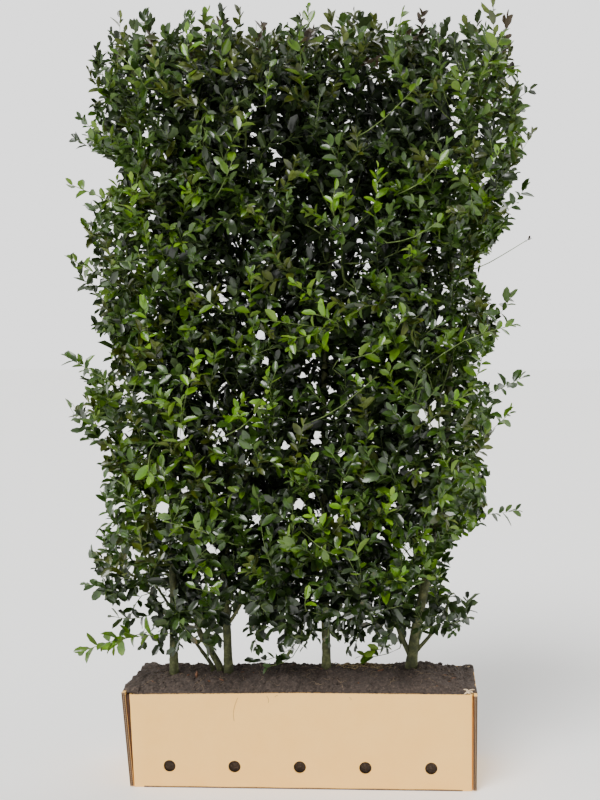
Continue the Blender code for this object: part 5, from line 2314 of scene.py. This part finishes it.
    def torn_paper(self) -> None:
        """Frayed pale paper where the right end board's top has torn."""
        rng = np.random.default_rng(5)
        parts = []
        for y in (*rng.uniform(-0.147, -0.112, 9), *rng.uniform(0.10, 0.135, 4)):
            turn, size = rng.uniform(0, FULL_TURN), rng.uniform(0.005, 0.012)
            heading = np.array([[math.cos(turn), math.sin(turn), 0.4]])
            way = heading * np.linspace(-1, 1, 5)[:, None] * size
            way[:, 2] += 0.003 * np.sin(np.linspace(0, math.pi, 5))
            way += (rng.uniform(0.470, 0.484), y, 0.2715)
            radii = np.array([0.4, 1.0, 1.1, 0.9, 0.3]) * rng.uniform(0.0016, 0.0030)
            parts.append(tube(way, radii, 4))
        mesh = mesh_from_arrays("carton_torn_paper", *join(parts))
        add_piece("carton_torn_paper", mesh, [TORN_FINISH.material()])


# Stage


@dataclass(frozen=True)
class Studio:
    """A plain pale floor, soft light and a camera at the photo's viewing angle."""

    place: tuple[float, float, float] = VIEWPOINT
    turn: float = 2.0
    shift_x: float = -0.1111
    shift_y: float = -0.0461
    lens: float = 50.0
    floor_size: float = 400.0
    backdrop: float = 1.9
    surround: float = 0.50
    suns: tuple = (
        ("key", (-0.55, -1.0, 1.25), 3.85, 34.0),
        ("rim", (0.5, 1.0, 1.3), 1.3, 45.0),
        ("left_fill", (-1.0, -0.15, 0.30), 1.3, 60.0),
        ("right_fill", (1.0, -0.15, 0.25), 1.3, 60.0),
    )

    def build(self) -> None:
        """Makes the floor, the light and the camera."""
        self.floor()
        self.lights()
        self.camera()

    def floor(self) -> None:
        """The pale floor, which isn't part of the plant."""
        mesh = Carton.box((self.floor_size, self.floor_size, 0.02), (0, 0, -0.0102))
        surface = new_material("pale_studio_floor")
        surface.shader.inputs["Base Color"].default_value = hex_to_linear("#fbfbfa")
        surface.shader.inputs["Roughness"].default_value = 0.9
        mesh.materials.append(surface.material)
        floor = bpy.data.objects.new("studio_floor", mesh)
        bpy.context.scene.collection.objects.link(floor)

    def lights(self) -> None:
        """A white surround, a broad soft light in front, and weaker ones behind and beside."""
        world = bpy.data.worlds.new("studio")
        world.use_nodes = True
        tree = world.node_tree
        backdrop = tree.nodes["Background"]
        backdrop.inputs["Color"].default_value = hex_to_linear("#ffffff")
        backdrop.inputs["Strength"].default_value = self.backdrop
        path = add_node(tree, "LightPath", {}, {})
        surround = add_node(
            tree, "Background",
            {"Color": hex_to_linear("#fffdf8"), "Strength": self.surround}, {},
        )
        both = add_node(
            tree, "MixShader", {},
            {0: path.outputs["Is Camera Ray"], 1: surround.outputs[0], 2: backdrop.outputs[0]},
        )
        tree.links.new(both.outputs[0], tree.nodes["World Output"].inputs["Surface"])
        bpy.context.scene.world = world
        for name, way, power, spread in self.suns:
            data = bpy.data.lights.new(name, "SUN")
            data.energy = power
            data.angle = math.radians(spread)
            lamp = bpy.data.objects.new(name, data)
            lamp.rotation_mode = "QUATERNION"
            lamp.rotation_quaternion = (-Vector(way)).to_track_quat("-Z", "Y")
            bpy.context.scene.collection.objects.link(lamp)

    def camera(self) -> None:
        """A level camera a little to the right of the front."""
        data = bpy.data.cameras.new("camera")
        data.lens = self.lens
        data.sensor_width = 36.0
        camera = bpy.data.objects.new("camera", data)
        data.shift_x, data.shift_y = self.shift_x, self.shift_y
        camera.location = self.place
        camera.rotation_euler = (math.pi / 2, 0.0, math.radians(self.turn))
        bpy.context.scene.collection.objects.link(camera)
        bpy.context.scene.camera = camera


def main() -> None:
    """Builds the looks round the frame, from the trough up."""
    logging.basicConfig(level=logging.INFO, format="%(message)s")
    for obj in list(bpy.data.objects):
        bpy.data.objects.remove(obj)
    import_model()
    Studio().build()
    Carton().build()
    Soil().build()
    limbs = Limbs()
    limbs.build(STEM_FINISH.material())
    Foliage(Crown(limbs)).build()


if __name__ == "__main__":
    main()
